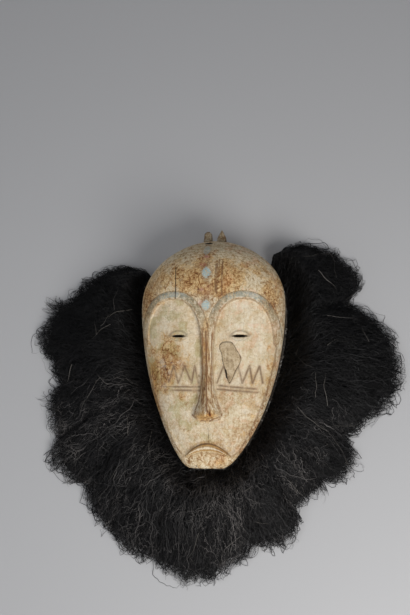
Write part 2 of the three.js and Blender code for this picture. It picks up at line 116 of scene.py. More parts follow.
# Nose, mouth and eyes
NOSE_ROOT = 296.0
NOSE_WINGS = 103.0
NOSE_TIP = 92.0
NOSE_HEIGHT = 25.0
NOSE_WAIST = 9.2
NOSE_WING_HALF = 28.0
LIP_TOP = 48.5
LIP_CORNER = 20.0
LIP_HALF_SPAN = 47.0
LIP_THICKNESS = 13.0
LIP_HEIGHT = 5.0
EYES = ((-57.5, 27.8), (61.5, 31.0))  # middle and length
EYE_HEIGHT = 254.0
EYE_OPENING = 4.6
EYE_STEPS = 16
EYE_CUT = (-80, 30)  # how low and how high the cutter reaches
LID_CREASE = ((17, 3), (8, 9.5), (-3, 10.5), (-13, 7.5), (-19, 2))  # from the eye's middle
LID_BELOW = ((-16, -4), (-7, -8.5), (6, -9.5), (16, -4))
LIP_GROOVES = (  # place across the lips, width and depth
    (0.0, 0.10, 0.8), (0.42, 0.09, 0.8), (0.99, 0.10, 1.9), (1.2, 0.10, -0.9), (1.4, 0.08, 0.6))

# Incised cheek marks: side, feet and peaks of the teeth outwards, and the double line
CHEEKS = (
    (-1, (19, 32, 58, 78, 96), (26, 46, 68, 88),
     (((15, 156.7), (92, 156.7)), ((15, 150), (92, 150)))),
    (1, (17, 41.5, 66, 85, 103.5), (30, 58, 79.5, 98),
     (((20, 159.5), (92, 152.5)), ((18, 152.3), (94, 146)))),
)
TOOTH_BASE = 164.0
TOOTH_TOP = 197.0

# Lugs on the crown
LUG_OFFSET = 13.5
LUG_WIDTH = 19.0
LUG_HEIGHT = 32.0
LUG_THICKNESS = 15.0
LUG_DEPTH = -103.0
LUG_FOOT = 11.0  # how far the lugs start below the crown
LUG_RINGS, LUG_SIDES = 16, 28
LUG_CAP = (0.88, 0.7, 0.35)  # how its last three rings draw in

# Repair plug and the split at its foot
PLUG_OUTLINE = [(23, 237), (28, 242), (38, 242.6), (47, 240.5), (56.5, 225), (63.4, 213),
                (60.6, 200.5), (53, 188), (46.5, 172), (40.4, 165.3), (34, 188), (28.5, 205),
                (26.5, 220), (22.5, 230)]
PLUG_SHRINK = 0.986
PLUG_WOBBLE, HOLE_WOBBLE = 0.25, 0.5
PLUG_CUT = (-60, 30)
PLUG_RINGS = 24
PLUG_SUNK = 0.35
PLUG_DEPTH = 12.5
SPLIT_PLACE = (34.5, 183.0)
SPLIT_HALF = (2.16, 6.6)
SPLIT_DEPTH = 11.0

# Twine
TWINE_RADIUS = 2.0
TWINE_HEIGHT = 16.0
KNOT_RADIUS = 4.2
TWINE_SLACK = 2.7
TWINE_END = 4.0  # degrees short of the wreath's ends
TWINE_STEPS = 420
PLY_TWIST = 3.4  # millimetres to a radian
PLY_OFFSET = 0.85
PLY_RADIUS = 1.1
KNOT_WRAPS = 3
WRAP_STEP = 1.9
WRAP_HALF = (2.3, 2.5)
WRAP_RADIUS = 0.95
WRAP_LEAN = 0.5
TAIL_LENGTHS = (4, 8)
TAIL_LEAN = 0.8
TAIL_RADII = (0.8, 0.45)
TAIL_POINTS = 8

# Raffia bundles: the direction of each bundle's two sides in degrees round the middle of
# the wreath, the reach of its tip and of its sides, and its thickness
WREATH_MIDDLE = (0.0, 215.0)
BUNDLES = [
    ("raffia_crown_right", 28, 64, 355, (292, 240), 76),
    ("raffia_right_upper", 8, 28, 372, (356, 272), 72),
    ("raffia_right_middle", -8, 8, 370, (352, 356), 68),
    ("raffia_right_lower", -30, -8, 360, (276, 352), 66),
    ("raffia_cheek_right", -46, -30, 336, (294, 296), 66),
    ("raffia_jaw_right", -61, -46, 334, (318, 296), 68),
    ("raffia_chin_right", -75, -61, 368, (352, 352), 72),
    ("raffia_chin_middle", -90, -75, 412, (404, 348), 74),
    ("raffia_chin_left", -106, -90, 418, (398, 404), 74),
    ("raffia_jaw_left", -122, -106, 404, (384, 398), 72),
    ("raffia_jaw_outer", -138, -122, 396, (336, 386), 68),
    ("raffia_cheek_left", -155, -138, 376, (338, 338), 66),
    ("raffia_left_lower", -173, -155, 362, (322, 340), 66),
    ("raffia_left_middle", -184, -173, 354, (350, 320), 66),
    ("raffia_left_upper", -199, -184, 374, (350, 358), 68),
    ("raffia_brow_left", -216, -199, 360, (312, 350), 70),
    ("raffia_crown_left", -234, -216, 330, (240, 312), 66),
]
BUNDLE_FOOT = 8.0
BUNDLE_EDGE = 4.0
VALLEY_SHARE = 0.55
BUNDLE_TIP_HEIGHT = 14.0
BUNDLE_RUN = 75.0
BUNDLE_WALL_GAP = 3.5

# Where the face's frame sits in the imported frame, read from the carved mask's box
mask_low, mask_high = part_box("carved_mask")
COS, SIN = math.cos(FACE_TILT), math.sin(FACE_TILT)
SHIFT = np.array([(mask_low[0] + mask_high[0]) / 2 / MM, mask_low[1] / MM - CHIN_SETBACK * SIN, 0.0])
UP = np.array([0.0, 0.0, 1.0])


def lying(points):
    """Face-frame points as the mask lies, still in millimetres and before its shift."""
    x, y, z = np.moveaxis(np.asarray(points, dtype=float), -1, 0)
    return stack(x, y * COS - z * SIN, y * SIN + (z + CHIN_DEPTH) * COS)


def in_world(points):
    """Lying places before their shift, in millimetres, as world places in metres."""
    return (points + SHIFT) * MM


# Helpers on arrays

def smooth(value):
    t = np.clip(value, 0, 1)
    return t * t * (3 - 2 * t)


def swell(value):
    return np.exp(-np.maximum(0, value) ** 2)


def bell(value):
    return np.exp(-np.asarray(value) ** 2)


def lattice_noise(points, scale, seed):
    """Smooth random values from -1 to 1 at 3-D points."""
    table = np.random.default_rng(seed).random((24, 24, 24)) * 2 - 1
    place = np.asarray(points, dtype=float) / scale
    cell = np.floor(place).astype(int)
    part = place - cell
    part = part * part * (3 - 2 * part)
    total = np.zeros(place.shape[:-1])
    for corner in range(8):
        step = np.array([corner & 1, corner >> 1 & 1, corner >> 2 & 1])
        index = (cell + step) % 24
        weight = np.prod(np.where(step == 1, part, 1 - part), axis=-1)
        total += weight * table[index[..., 0], index[..., 1], index[..., 2]]
    return total


def stack(*coordinates):
    """Places [..., axis] from separate coordinates."""
    return np.stack(np.broadcast_arrays(*coordinates), -1)


def unit(vectors):
    """Vectors brought to length one."""
    return vectors / np.maximum(np.linalg.norm(vectors, axis=-1, keepdims=True), 1e-9)


def distance_to_path(x, y, path):
    best = np.full(np.shape(x), 1e9)
    for (ax, ay), (bx, by) in zip(path[:-1], path[1:]):
        ex, ey = bx - ax, by - ay
        at = np.clip(((x - ax) * ex + (y - ay) * ey) / max(ex * ex + ey * ey, 1e-9), 0, 1)
        best = np.minimum(best, np.hypot(x - ax - at * ex, y - ay - at * ey))
    return best


def inside_outline(x, y, outline):
    inside = np.zeros(np.shape(x), dtype=bool)
    for (ax, ay), (bx, by) in zip(outline, outline[1:] + outline[:1]):
        crosses = (ay > y) != (by > y)
        with np.errstate(divide="ignore", invalid="ignore"):
            edge = ax + (y - ay) * (bx - ax) / (by - ay if by != ay else 1e-9)
        inside ^= crosses & (x < edge)
    return inside


def signed_distance(x, y, outline):
    away = distance_to_path(x, y, outline + outline[:1])
    return np.where(inside_outline(x, y, outline), -away, away)


# The form of the wood, the same as the solid's

def fullness(t, powers):
    return np.maximum(0, 1 - t ** powers[0]) ** (1 / powers[1])


def half_width_at(y):
    y = np.asarray(y, dtype=float)
    rise = np.clip((y - WIDEST_AT) / (DOME_HEIGHT - WIDEST_AT), 0, 1)
    fall = np.clip((WIDEST_AT - y) / (WIDEST_AT + CHIN_RUN), 0, 1)
    upper = fullness(rise, CROWN_FULLNESS)
    lower = fullness(fall, CHEEK_FULLNESS)
    corner = CHIN_CORNER * np.maximum(0, 1 - y / CHIN_CORNER_ENDS) ** 2
    return HALF_WIDTH * np.where(y > WIDEST_AT, upper, lower) - corner


def lean_at(y):
    return CHIN_LEAN * np.maximum(0, 1 - np.asarray(y) / CHIN_LEAN_ENDS) ** 2


def side_depth_at(y):
    low = np.clip(1 - np.maximum(0, y) / BROW_HEIGHT, 0, 1) ** 1.4
    high = np.clip((y - BROW_HEIGHT) / (DOME_HEIGHT - BROW_HEIGHT), 0, 1) ** 1.5
    below = BROW_SIDE_DEPTH - (BROW_SIDE_DEPTH - CHIN_SIDE_DEPTH) * low
    above = BROW_SIDE_DEPTH + (CROWN_SIDE_DEPTH - BROW_SIDE_DEPTH) * high
    return -np.where(y < BROW_HEIGHT, below, above)


def middle_depth_at(y):
    chin = CHIN_SETBACK * np.maximum(0, 1 - y / 120) ** 2
    low = FOREHEAD_BULGE * smooth((y - 190) / 110) - chin
    rise = np.clip((y - 300) / (DOME_HEIGHT - 300), 0, 1)
    drop = 1 - np.sqrt(np.maximum(0, 1 - rise ** DOME_FULLNESS))
    high = FOREHEAD_BULGE - (FOREHEAD_BULGE + CROWN_SIDE_DEPTH) * drop
    return np.where(y < 300, low, high)


def front_at(x, y):
    half = np.maximum(half_width_at(y), 1e-6)
    across = np.clip(np.abs(x - lean_at(y)) / half, 0, 1)
    drop = 1 - np.sqrt(np.maximum(0, 1 - across ** SECTION_FULLNESS))
    middle = middle_depth_at(y)
    return middle - (middle - side_depth_at(y)) * drop


def relief_at(x, y):
    side = np.abs(x)
    brow = BROW_STEP * smooth((y - 170) / 130) * (1 - 0.6 * smooth((side - 95) / 30))
    nose = NOSE_SIDE_STEP * swell((side - 12) / 26) * smooth((y - 60) / 60)
    lip = LIP_STEP * swell((y - LIP_TOP) / 22)
    return PANEL_STEP + brow + nose + lip


def nose_half_width_at(y):
    flare = np.maximum(0, 1 - (np.asarray(y, dtype=float) - NOSE_WINGS) / 92) ** 2.2
    return NOSE_WAIST + (NOSE_WING_HALF - NOSE_WAIST) * flare + 0.6 * smooth((y - 190) / 60)


def upper_lip_at(x):
    across = np.minimum(1.2, np.abs(x + 1) / LIP_HALF_SPAN)
    return LIP_TOP - (LIP_TOP - LIP_CORNER) * across ** 1.9


def mouth_line_at(x):
    across = np.minimum(1.2, np.abs(x + 1) / LIP_HALF_SPAN)
    top = LIP_TOP - LIP_THICKNESS
    return top - (top - LIP_CORNER + 1) * across ** 2.2


def rim_depth_at(y):
    return -CHIN_DEPTH - y * math.tan(FACE_TILT)


def panel_outline():
    """One sunk panel on the positive side, run on past the middle line under the nose."""
    points = []
    for angle in math.pi * (1 - np.arange(ARCH_STEPS + 1) / ARCH_STEPS):
        reach = math.copysign(abs(math.cos(angle)) ** (2 / ARCH_FULLNESS), math.cos(angle))
        height = ARCH_RISE * max(0.0, math.sin(angle)) ** (2 / ARCH_FULLNESS)
        points.append((PANEL_CENTRE + PANEL_HALF_WIDTH * reach, PANEL_SPRINGING + height))
    points += [(float(half_width_at(y)) - PANEL_MARGIN, y) for y in range(232, 24, -8)]
    points += [(x, float(upper_lip_at(abs(x) - 1 if x < 0 else x))) for x in range(44, -41, -6)]
    points += [(-40, NOSE_TIP), (17, NOSE_TIP), (24, NOSE_TIP + 4)]
    return points + [(float(nose_half_width_at(y)), y)
                     for y in (NOSE_WINGS, 108, 114, 122, 132, 145, 160, 175, 190, 205, 220, 232)]


def mark_paths():
    """The incised teeth and double lines of both cheeks."""
    paths = []
    for side, feet, peaks, lines in CHEEKS:
        for index, peak in enumerate(peaks):
            paths.append([(side * feet[index], TOOTH_BASE), (side * peak, TOOTH_TOP),
                          (side * feet[index + 1], TOOTH_BASE)])
        paths += [[(side * x, y) for x, y in line] for line in lines]
    return paths


CRACKS = [
    # forehead split, the seam under the nose, the short checks by the plug and the cheek
    ([(-66, 389), (-65.2, 378), (-64.2, 362), (-63.6, 345), (-62.6, 326)], 0.7, 2.4),
    ([(0, 82), (0.5, 74), (1, 66), (0.5, 56)], 0.0, 0.8),
    ([(26, 97), (26.5, 88), (26, 76)], -0.45, 0.5),
    ([(-22.4, 5.6), (-22, 4.6)], 0.9, 1.6),
    ([(34.2, 189), (35.8, 182), (36.9, 175)], 2.0, 3.2),
    ([(-18, 180), (-17.6, 176)], 0.3, 1.0),
]


# Stains on the front, and clean patches with one painted highlight among them: middle, half width, half
# height and strength, in millimetres
STAINS = {
    "rust": [
        (92, 386, 34, 24, 0.55), (46, 368, 34, 44, 1.25), (26, 356, 18, 50, 1.1),
        (-26, 362, 34, 46, 1.0), (-62, 374, 40, 44, 0.8), (-112, 350, 32, 54, 0.95),
        (-130, 312, 14, 44, 0.7),
        (122, 336, 26, 50, 1.0), (-2, 344, 20, 26, 0.7), (-6, 402, 30, 24, 0.8),
        (-1, 285, 12, 34, 0.4), (-78, 204, 48, 68, 0.85), (-80, 232, 16, 22, 0.5),
        (-90, 176, 26, 36, 0.7), (-112, 186, 14, 64, 0.5), (-60, 206, 20, 30, 0.35),
        (-50, 138, 12, 12, 0.85), (-106, 120, 16, 46, 0.4),
        (90, 160, 26, 40, 0.3), (10, 107, 7, 8, 0.9), (-5, 196, 10, 100, 0.75),
        (118, 200, 12, 70, 0.6), (-96, 110, 14, 50, 0.45), (86, 96, 20, 30, 0.3),
    ],
    "ochre": [
        (-8, 100, 20, 14, 1.1), (12, 101, 14, 9, 0.7), (0, 48, 44, 7, 0.7),
        (-32, 38, 15, 12, 0.55), (36, 32, 15, 12, 0.6), (22, 12, 18, 11, 0.6),
        (-16, 9, 14, 7, 0.35), (84, 122, 24, 12, 0.5), (-110, 160, 12, 90, 0.5),
        (-122, 240, 10, 50, 0.5), (58, 76, 16, 5, 0.5), (66, 66, 10, 9, 0.55),
        (-66, 300, 40, 26, 0.12), (92, 60, 20, 22, 0.35), (-4, 240, 10, 40, 0.3),
    ],
    "grey": [
        (-32, 54, 22, 16, 0.55), (2, 62, 16, 14, 0.5), (34, 54, 16, 10, 0.3),
        (-24, 196, 13, 46, 0.6), (24, 150, 40, 9, 0.3), (-60, 152, 40, 8, 0.45),
        (-46, 108, 22, 30, 0.3), (0, 428, 110, 26, 0.5), (-70, 412, 50, 30, 0.35),
        (60, 252, 26, 16, 0.25), (-58, 252, 26, 16, 0.3),
    ],
    "clean_and_highlight": [
        (72, 296, 46, 36, 0.9), (62, 225, 34, 40, 0.5), (-80, 290, 38, 36, 0.6),
        (42, 170, 30, 36, 0.35), (54, 100, 34, 40, 0.6), (0, 14, 38, 15, 0.9),
        (-62, 92, 22, 34, 0.35), (74, 360, 38, 24, 0.75), (24, 312, 22, 20, 0.3),
        # The last clean patch, down the nose's right flank, is a painted highlight on its lit side
        (-8, 75, 34, 16, 0.35), (102, 250, 16, 60, 0.3), (14, 140, 6, 56, 1.0),
    ],
}

# Dark lines, each as a path with a half width: brown stripes in the paint, and the last three, along
# the undersides of the nose's wings, painted shadow
INK_AND_SHADOW_LINES = [
    ([(20, 402), (20.6, 388), (21, 372), (21.5, 356)], 0.5),
    ([(26.5, 400), (26.8, 380), (27, 356), (28, 332)], 0.9),
    ([(15.5, 392), (16, 366), (17, 338)], 2.2),
    ([(-9.5, 268), (-10.5, 215), (-11, 172), (-17, 130), (-24, 112)], 0.5),
    ([(-3, 262), (-1.5, 205), (-0.5, 150), (1, 112)], 1.1),
    ([(8.5, 258), (8, 200), (8.5, 150)], 0.1),
    # These last three, along the undersides of the nose's wings, are painted shadow
    ([(-29, 103), (-22, 97.5)], 1.0),
    ([(3, 90), (10, 95), (24, 99.5)], 0.4),
    ([(-3, 90.5), (-12, 93)], 0.1),
]


def stain_field(name, x, y):
    """How strongly one kind of stain lies at each place, from its list of soft patches."""
    total = np.zeros(np.shape(x))
    for middle_x, middle_y, rx, ry, strength in STAINS[name]:
        away = np.hypot((x - middle_x) / rx, (y - middle_y) / ry)
        total += strength * smooth(1 - away / 1.3)
    return total


def carve_height(x, y):
    """Height of the finished front above the plain egg, and the fields the paint needs."""
    side = np.abs(x)
    edge = signed_distance(side, y, panel_outline())
    nose_side = smooth((45 - side) / 15) * smooth((250 - y) / 40)
    outer = smooth((side - half_width_at(y) + 30) / 15) * smooth((262 - y) / 40)
    height = -relief_at(x, y) * smooth(-edge / (2.8 + 4.5 * nose_side + 6 * outer))

    # Brow band: a faintly rounded strip with an incised line outside it
    arch = smooth((y - 236) / 26)
    band = smooth(edge / 2.5) * (1 - smooth((edge - BAND_WIDTH + 2) / 2.5)) * arch
    height += 0.9 * band * np.sin(np.clip(edge / BAND_WIDTH, 0, 1) * math.pi)
    height -= 0.9 * bell(edge - BAND_WIDTH) * arch * smooth((400 - y) / 40)

    # Nose
    under = np.clip((NOSE_WINGS - y) / (NOSE_WINGS - NOSE_TIP), 0, 1)
    half = nose_half_width_at(np.maximum(y, NOSE_WINGS)) * (1 - 0.38 * under ** 2)
    rise = np.clip((NOSE_ROOT - y) / (NOSE_ROOT - NOSE_WINGS), 0, 1)
    ridge = NOSE_HEIGHT * rise ** 2.3 * (1 - smooth((NOSE_WINGS + 1 - y) / 11))
    height += ridge * np.maximum(0, 1 - np.clip(side / half, 0, 1) ** 1.75)
    height -= 2.2 * bell((side - half) / 5) * bell((y - 122) / 16)

    # Lips and chin
    low, high, span = mouth_line_at(x), upper_lip_at(x), np.abs(x + 1)
    along = np.clip((y - low) / np.maximum(high - low, 0.5), 0, 1)
    ends = np.sqrt(np.maximum(0, 1 - np.clip(span / LIP_HALF_SPAN, 0, 1) ** 4))
    height += LIP_HEIGHT * np.sin(along * math.pi) ** 0.8 * ends
    lip = (high - y) / np.maximum(high - low, 3)
    lips = smooth((LIP_HALF_SPAN + 1 - span) / 6)
    for middle, width, depth in LIP_GROOVES:
        height -= depth * bell((lip - middle) / width) * lips
    height += 2.0 * bell((y - 13) / 9) * bell(x / 38)
    height -= 4.0 * np.clip(1 - y / 7, 0, 1) ** 2

    # Eyelids
    lids = []
    for middle, length in EYES:
        def away_from(line, flip=1):
            return distance_to_path(x, y, [(middle + flip * dx, EYE_HEIGHT + dy) for dx, dy in line])

        lid = np.hypot((x - middle) / 20, (y - EYE_HEIGHT) / 11)
        height += 1.5 * bell((lid - 0.8) / 0.26) - 1.2 * bell(lid / 0.4)
        crease = away_from(LID_CREASE, -math.copysign(1, middle))
        below = away_from(LID_BELOW)
        slit = away_from(((-length / 2 - 2, 0), (length / 2 + 2, 0)))
        height -= 1.3 * bell(crease / 1.7)
        height -= 0.7 * bell(below / 1.5)
        lids += [crease, below + 0.8, slit - 1.2]

    # Incised marks, worn almost away on the far left
    marks = np.min([distance_to_path(x, y, path) for path in mark_paths()], axis=0)
    wear = 1 - 0.75 * smooth((-x - 62) / 20)
    height -= 1.5 * wear * (1 - smooth(marks / 1.7))

    cracks = []
    for path, width, depth in CRACKS:
        away = distance_to_path(x, y, path)
        height -= depth * (1 - smooth(away / (width + 0.5)))
        cracks.append(away - width)
    plug = signed_distance(x, y, PLUG_OUTLINE)
    height -= 0.8 * bell(plug / 1.4)

    # The dark slot in front of the left lug
    slot = np.hypot((x + 9) / 9, (y - 439) / 2.4)
    height -= 5 * (1 - smooth((slot - 0.5) / 0.5))

    ink_and_shadow = [distance_to_path(x, y, path) - width for path, width in INK_AND_SHADOW_LINES]
    fields = dict(panel=edge, marks=marks / np.maximum(wear, 0.2), crack=np.min(cracks, axis=0),
                  plug=plug, lip=lip, lips=lips, slot=slot, ink_and_shadow=np.min(ink_and_shadow, axis=0),
                  lid=np.min(lids, axis=0), arch=arch)
    fields.update((name, stain_field(name, x, y)) for name in STAINS)
    return height, fields


# Mesh helpers

def link(name, data):
    obj = bpy.data.objects.new(name, data)
    bpy.context.collection.objects.link(obj)
    return obj


def mesh_object(name, vertices, faces):
    mesh = bpy.data.meshes.new(name)
    mesh.from_pydata(vertices, [], faces)
    mesh.validate()
    mesh.shade_smooth()
    return link(name, mesh)


FLIPPED = [0, 3, 2, 1]


def grid_quads(index, flip=False):
    """The quads between neighbours in a grid of indices."""
    quads = stack(index[:-1, :-1], index[:-1, 1:], index[1:, 1:], index[1:, :-1]).reshape(-1, 4)
    return quads[:, FLIPPED] if flip else quads


def closed_grid(rows, columns):
    """Indices of a grid whose rows run round, with its first column again at the end."""
    index = np.arange(rows * columns).reshape(rows, columns)
    return np.column_stack([index, index[:, :1]])


def ring_quads(ring, fresh):
    """The quads between two rings of indices, as an array."""
    return stack(ring, fresh, np.roll(fresh, -1), np.roll(ring, -1))


# What the paint reads from the mesh, with its value where nothing is marked
FAR = 60.0
FIELDS = {"panel": FAR, "marks": FAR, "crack": FAR, "plug": FAR, "lip": 9.0, "lips": 0.0, "slot": FAR,
          "ink_and_shadow": FAR, "lid": FAR, "arch": 0.0, "rust": 0.0, "ochre": 0.0, "grey": 0.0, "clean_and_highlight": 0.0}
LUG_ZONE, FRONT_ZONE, OUTER_RIM_ZONE, INNER_RIM_ZONE, BARE_ZONE = -1.0, 0.0, 0.5, 0.8, 1.0


def set_field(obj, name, values):
    values = np.asarray(values, dtype=np.float32)
    vector = values.ndim == 2
    layer = obj.data.attributes.new(name, "FLOAT_VECTOR" if vector else "FLOAT", "POINT")
    layer.data.foreach_set("vector" if vector else "value", values.ravel())


def set_fields(obj, places, zone, fields=FIELDS):
    set_field(obj, "face", places)
    for key, values in {"zone": zone, **fields}.items():
        set_field(obj, key, np.clip(np.broadcast_to(values, len(places)), -FAR, FAR))


# The carved mask

GRID_RATIO = 3  # steps of the front to one of the hollow
INNER_COLUMNS = 70
INNER_ROWS = 98
WALL_RINGS = 12
INNER_RINGS = 8
WALL_MIDDLE = 180.0
EDGE_TAPER = 6.0  # how far inside the outline the carving fades out
OUTER_LINE_END = 22.0  # how far under the rim's plane the lines of the wall end
HOLLOW_LINE_END = 40.0


def even_heights(count):
    """Heights up the middle line, evenly spaced along the curve of the front."""
    y = np.linspace(0, DOME_HEIGHT, 4000)
    return evenly(y, middle_depth_at(y), y, count)


def evenly(x, z, values, count):
    """Values at even steps along the curve of x and z; none where it has no length."""
    run = np.concatenate([[0], np.cumsum(np.hypot(np.diff(x), np.diff(z)))])
    if run[-1] < 1e-6:
        return np.zeros(count + 1)
    return np.interp(np.linspace(0, run[-1], count + 1), run, values)


def even_across(heights, count):
    """Places across each section, evenly spaced along its curve, as arrays [row, column]."""
    across = np.sin(np.linspace(-1, 1, 801) * math.pi / 2)
    places = []
    for y in heights:
        x = float(lean_at(y)) + float(half_width_at(y)) * across
        places.append(evenly(x, front_at(x, y), across, count))
    return np.array(places)


def egg_places(heights, across):
    y = np.repeat(heights[:, None], across.shape[1], axis=1)
    return lean_at(y) + half_width_at(y) * across, y


def drawn_in(x, y, wall):
    """Places moved in by a wall, or to half the width where the crown closes."""
    half = np.maximum(half_width_at(y), 1e-6)
    return lean_at(y) + half * (1 - wall / np.maximum(half, 2 * wall)) * ((x - lean_at(y)) / half)


def outer_low(x, y):
    low = y * CROWN_SET_IN
    return stack(drawn_in(x, y, WALL_SET_IN), low, rim_depth_at(low) - OUTER_LINE_END)


def hollow_high(x, y):
    along = CHIN_WALL + y * (DOME_HEIGHT - CHIN_WALL - CROWN_WALL) / DOME_HEIGHT
    return stack(drawn_in(x, y, SIDE_WALL), along, front_at(x, y) - FRONT_WALL)


def hollow_low(x, y):
    low = CHIN_WALL + (hollow_high(x, y)[..., 1] - CHIN_WALL) * CROWN_SET_IN
    return stack(drawn_in(x, y, SIDE_WALL + WALL_SET_IN), low, rim_depth_at(low) - HOLLOW_LINE_END)


def to_rim(high, low):
    """The place on each line from high to low that lies in the plane of the rim."""
    top, end = lying(high)[..., 2], lying(low)[..., 2]
    return high + (low - high) * (top / (top - end))[..., None]


def boundary(index, pole):
    """Indices round a grid: along the chin, up the right, the pole, down the left."""
    return np.concatenate([index[0], index[1:, -1], [pole], index[:0:-1, 0]])


def boundary_places(heights, across):
    """The egg's places round a grid, in the order of boundary."""
    sides = heights[1:-1]
    chin = np.full(across.shape[1], heights[0])
    y = np.concatenate([chin, sides, [DOME_HEIGHT], sides[::-1]])
    turned = np.concatenate([across[0], np.ones_like(sides), [0], -np.ones_like(sides)])
    return lean_at(y) + half_width_at(y) * turned, y


def carved_mask():
    parts, faces, zones = [], [], []
    fields = {key: [] for key in FIELDS}

    def add(places, zone, values=FIELDS):
        """Take in places with their zone and fields; returns their indices."""
        start = sum(map(len, parts))
        parts.append(places)
        zones.append(np.full(len(places), zone))
        for key in FIELDS:
            fields[key].append(np.broadcast_to(values[key], len(places)))
        return start + np.arange(len(places))

    def add_grid(points, zone, values, flip):
        """Take in a grid that closes in one point at the crown; returns its boundary."""
        rows, columns = points.shape[0] - 1, points.shape[1]
        open_values = {key: values[key][:-1].ravel() for key in values}
        index = add(points[:-1].reshape(-1, 3), zone, open_values).reshape(rows, columns)
        pole_values = {key: values[key][-1].mean() for key in values}
        pole = add([points[-1].mean(axis=0)], zone, pole_values)[0]
        faces.extend(grid_quads(index, flip).tolist())
        near, far = index[-1, :-1], index[-1, 1:]
        faces.extend((stack(far, near, pole) if flip else stack(near, far, pole)).tolist())
        return boundary(index, pole)

    # The front
    heights = even_heights(INNER_ROWS * GRID_RATIO)
    across = even_across(heights, INNER_COLUMNS * GRID_RATIO)
    x, y = egg_places(heights, across)
    height, front_fields = carve_height(x, y)
    taper = np.clip((half_width_at(y) - np.abs(x - lean_at(y))) / EDGE_TAPER, 0, 1)
    points = stack(x, y, front_at(x, y))
    points[..., 2] += height * taper
    normal = unit(np.cross(np.gradient(points, axis=1), np.gradient(points, axis=0)))
    normal[-1] = (0, 1, 0)
    uneven = 0.55 * lattice_noise(points, 26, 11) + 0.28 * lattice_noise(points, 9, 12)
    grain = 0.16 * lattice_noise(points * (1, 0.22, 1), 2.6, 13)
    points += normal * ((uneven + grain) * (0.4 + 0.6 * taper))[..., None]
    ring = add_grid(points, FRONT_ZONE, front_fields, False)

    # The wall, down to the rim
    top = np.concatenate(parts)[ring]
    wall_fields = {key: np.concatenate(fields[key])[ring] for key in FIELDS}
    x, y = boundary_places(heights, across)
    rim = to_rim(stack(x, y, front_at(x, y)), outer_low(x, y))
    out = unit(stack(x, y - WALL_MIDDLE, 0.0))
    for k in range(1, WALL_RINGS + 1):
        part = k / WALL_RINGS
        line = top + (rim - top) * part
        swollen = 0.5 * lattice_noise(line, 30, 21) + 0.25 * lattice_noise(line, 8, 22)
        line = line + out * (swollen * math.sin(part * math.pi) ** 0.5)[:, None]
        fresh = add(line, FRONT_ZONE if k < WALL_RINGS else OUTER_RIM_ZONE, wall_fields)
        faces += ring_quads(ring, fresh).tolist()
        ring = fresh
    outer_rim = ring

    # The hollow
    heights, across = heights[::GRID_RATIO], across[::GRID_RATIO, ::GRID_RATIO]
    hollow = hollow_high(*egg_places(heights, across))
    hollow[..., 2] += (0.7 * lattice_noise(hollow * (1, 0.6, 1), 14, 31)
                       + 0.3 * lattice_noise(hollow, 5, 32))
    plain = {key: np.full(hollow.shape[:2], value) for key, value in FIELDS.items()}
    ring = add_grid(hollow, BARE_ZONE, plain, True)
    top = np.concatenate(parts)[ring]
    rim = to_rim(top, hollow_low(*boundary_places(heights, across)))
    for k in range(1, INNER_RINGS + 1):
        zone = BARE_ZONE if k < INNER_RINGS else INNER_RIM_ZONE
        fresh = add(top + (rim - top) * k / INNER_RINGS, zone)
        faces += ring_quads(ring, fresh)[:, ::-1].tolist()
        ring = fresh

    # The flat rim
    for k, (near, far) in enumerate(zip(ring, np.roll(ring, -1))):
        outer = outer_rim.take(range(k * GRID_RATIO, (k + 1) * GRID_RATIO + 1), mode="wrap")
        faces += [[near, outer[s + 1], outer[s]] for s in range(GRID_RATIO)]
        faces.append([near, far, outer[GRID_RATIO]])

    places = np.concatenate(parts)
    obj = mesh_object("mask_wood", in_world(lying(places)), faces)
    values = {key: np.concatenate(fields[key]) for key in FIELDS}
    set_fields(obj, places, np.concatenate(zones), values)
    return obj


def prism(outline, low, high):
    """A closed upright prism in the face's frame, to cut with."""
    count = len(outline)
    points = [(x, y, z) for z in (low, high) for x, y in outline]
    ring = np.arange(count)
    faces = [ring[::-1].tolist(), (ring + count).tolist(),
             *ring_quads(ring, ring + count)[:, FLIPPED].tolist()]
    obj = mesh_object("cutter", in_world(lying(points)), faces)
    set_fields(obj, np.array(points), BARE_ZONE)
    return obj


def eye_outline(middle, length):
    points = []
    for flip in (1, -1):
        for at in np.arange(EYE_STEPS) / EYE_STEPS:
            lift = EYE_OPENING / 2 * (1 - abs(2 * at - 1) ** 2.8)
            points.append((middle + length * (at - 0.5) * flip, EYE_HEIGHT - flip * lift))
    return points


def plug_outline(shrink, wobble):
    """The plug's outline with rounded, slightly ragged corners."""
    corners = np.array(PLUG_OUTLINE, dtype=float)
    middle = corners.mean(axis=0)
    p0, p1, p2, p3 = (np.roll(corners, 1 - s, axis=0)[:, None] for s in range(4))
    at = np.arange(0, 1, 0.2)[:, None]
    points = 0.5 * (2 * p1 + (p2 - p0) * at + (2 * p0 - 5 * p1 + 4 * p2 - p3) * at ** 2
                    + (3 * p1 - p0 - 3 * p2 + p3) * at ** 3)
    points = points.reshape(-1, 2)
    ragged = lattice_noise(np.column_stack([points, np.zeros(len(points))]), 4.0, 41) * wobble
    return middle + (points - middle) * shrink + unit(points - middle) * ragged[:, None]


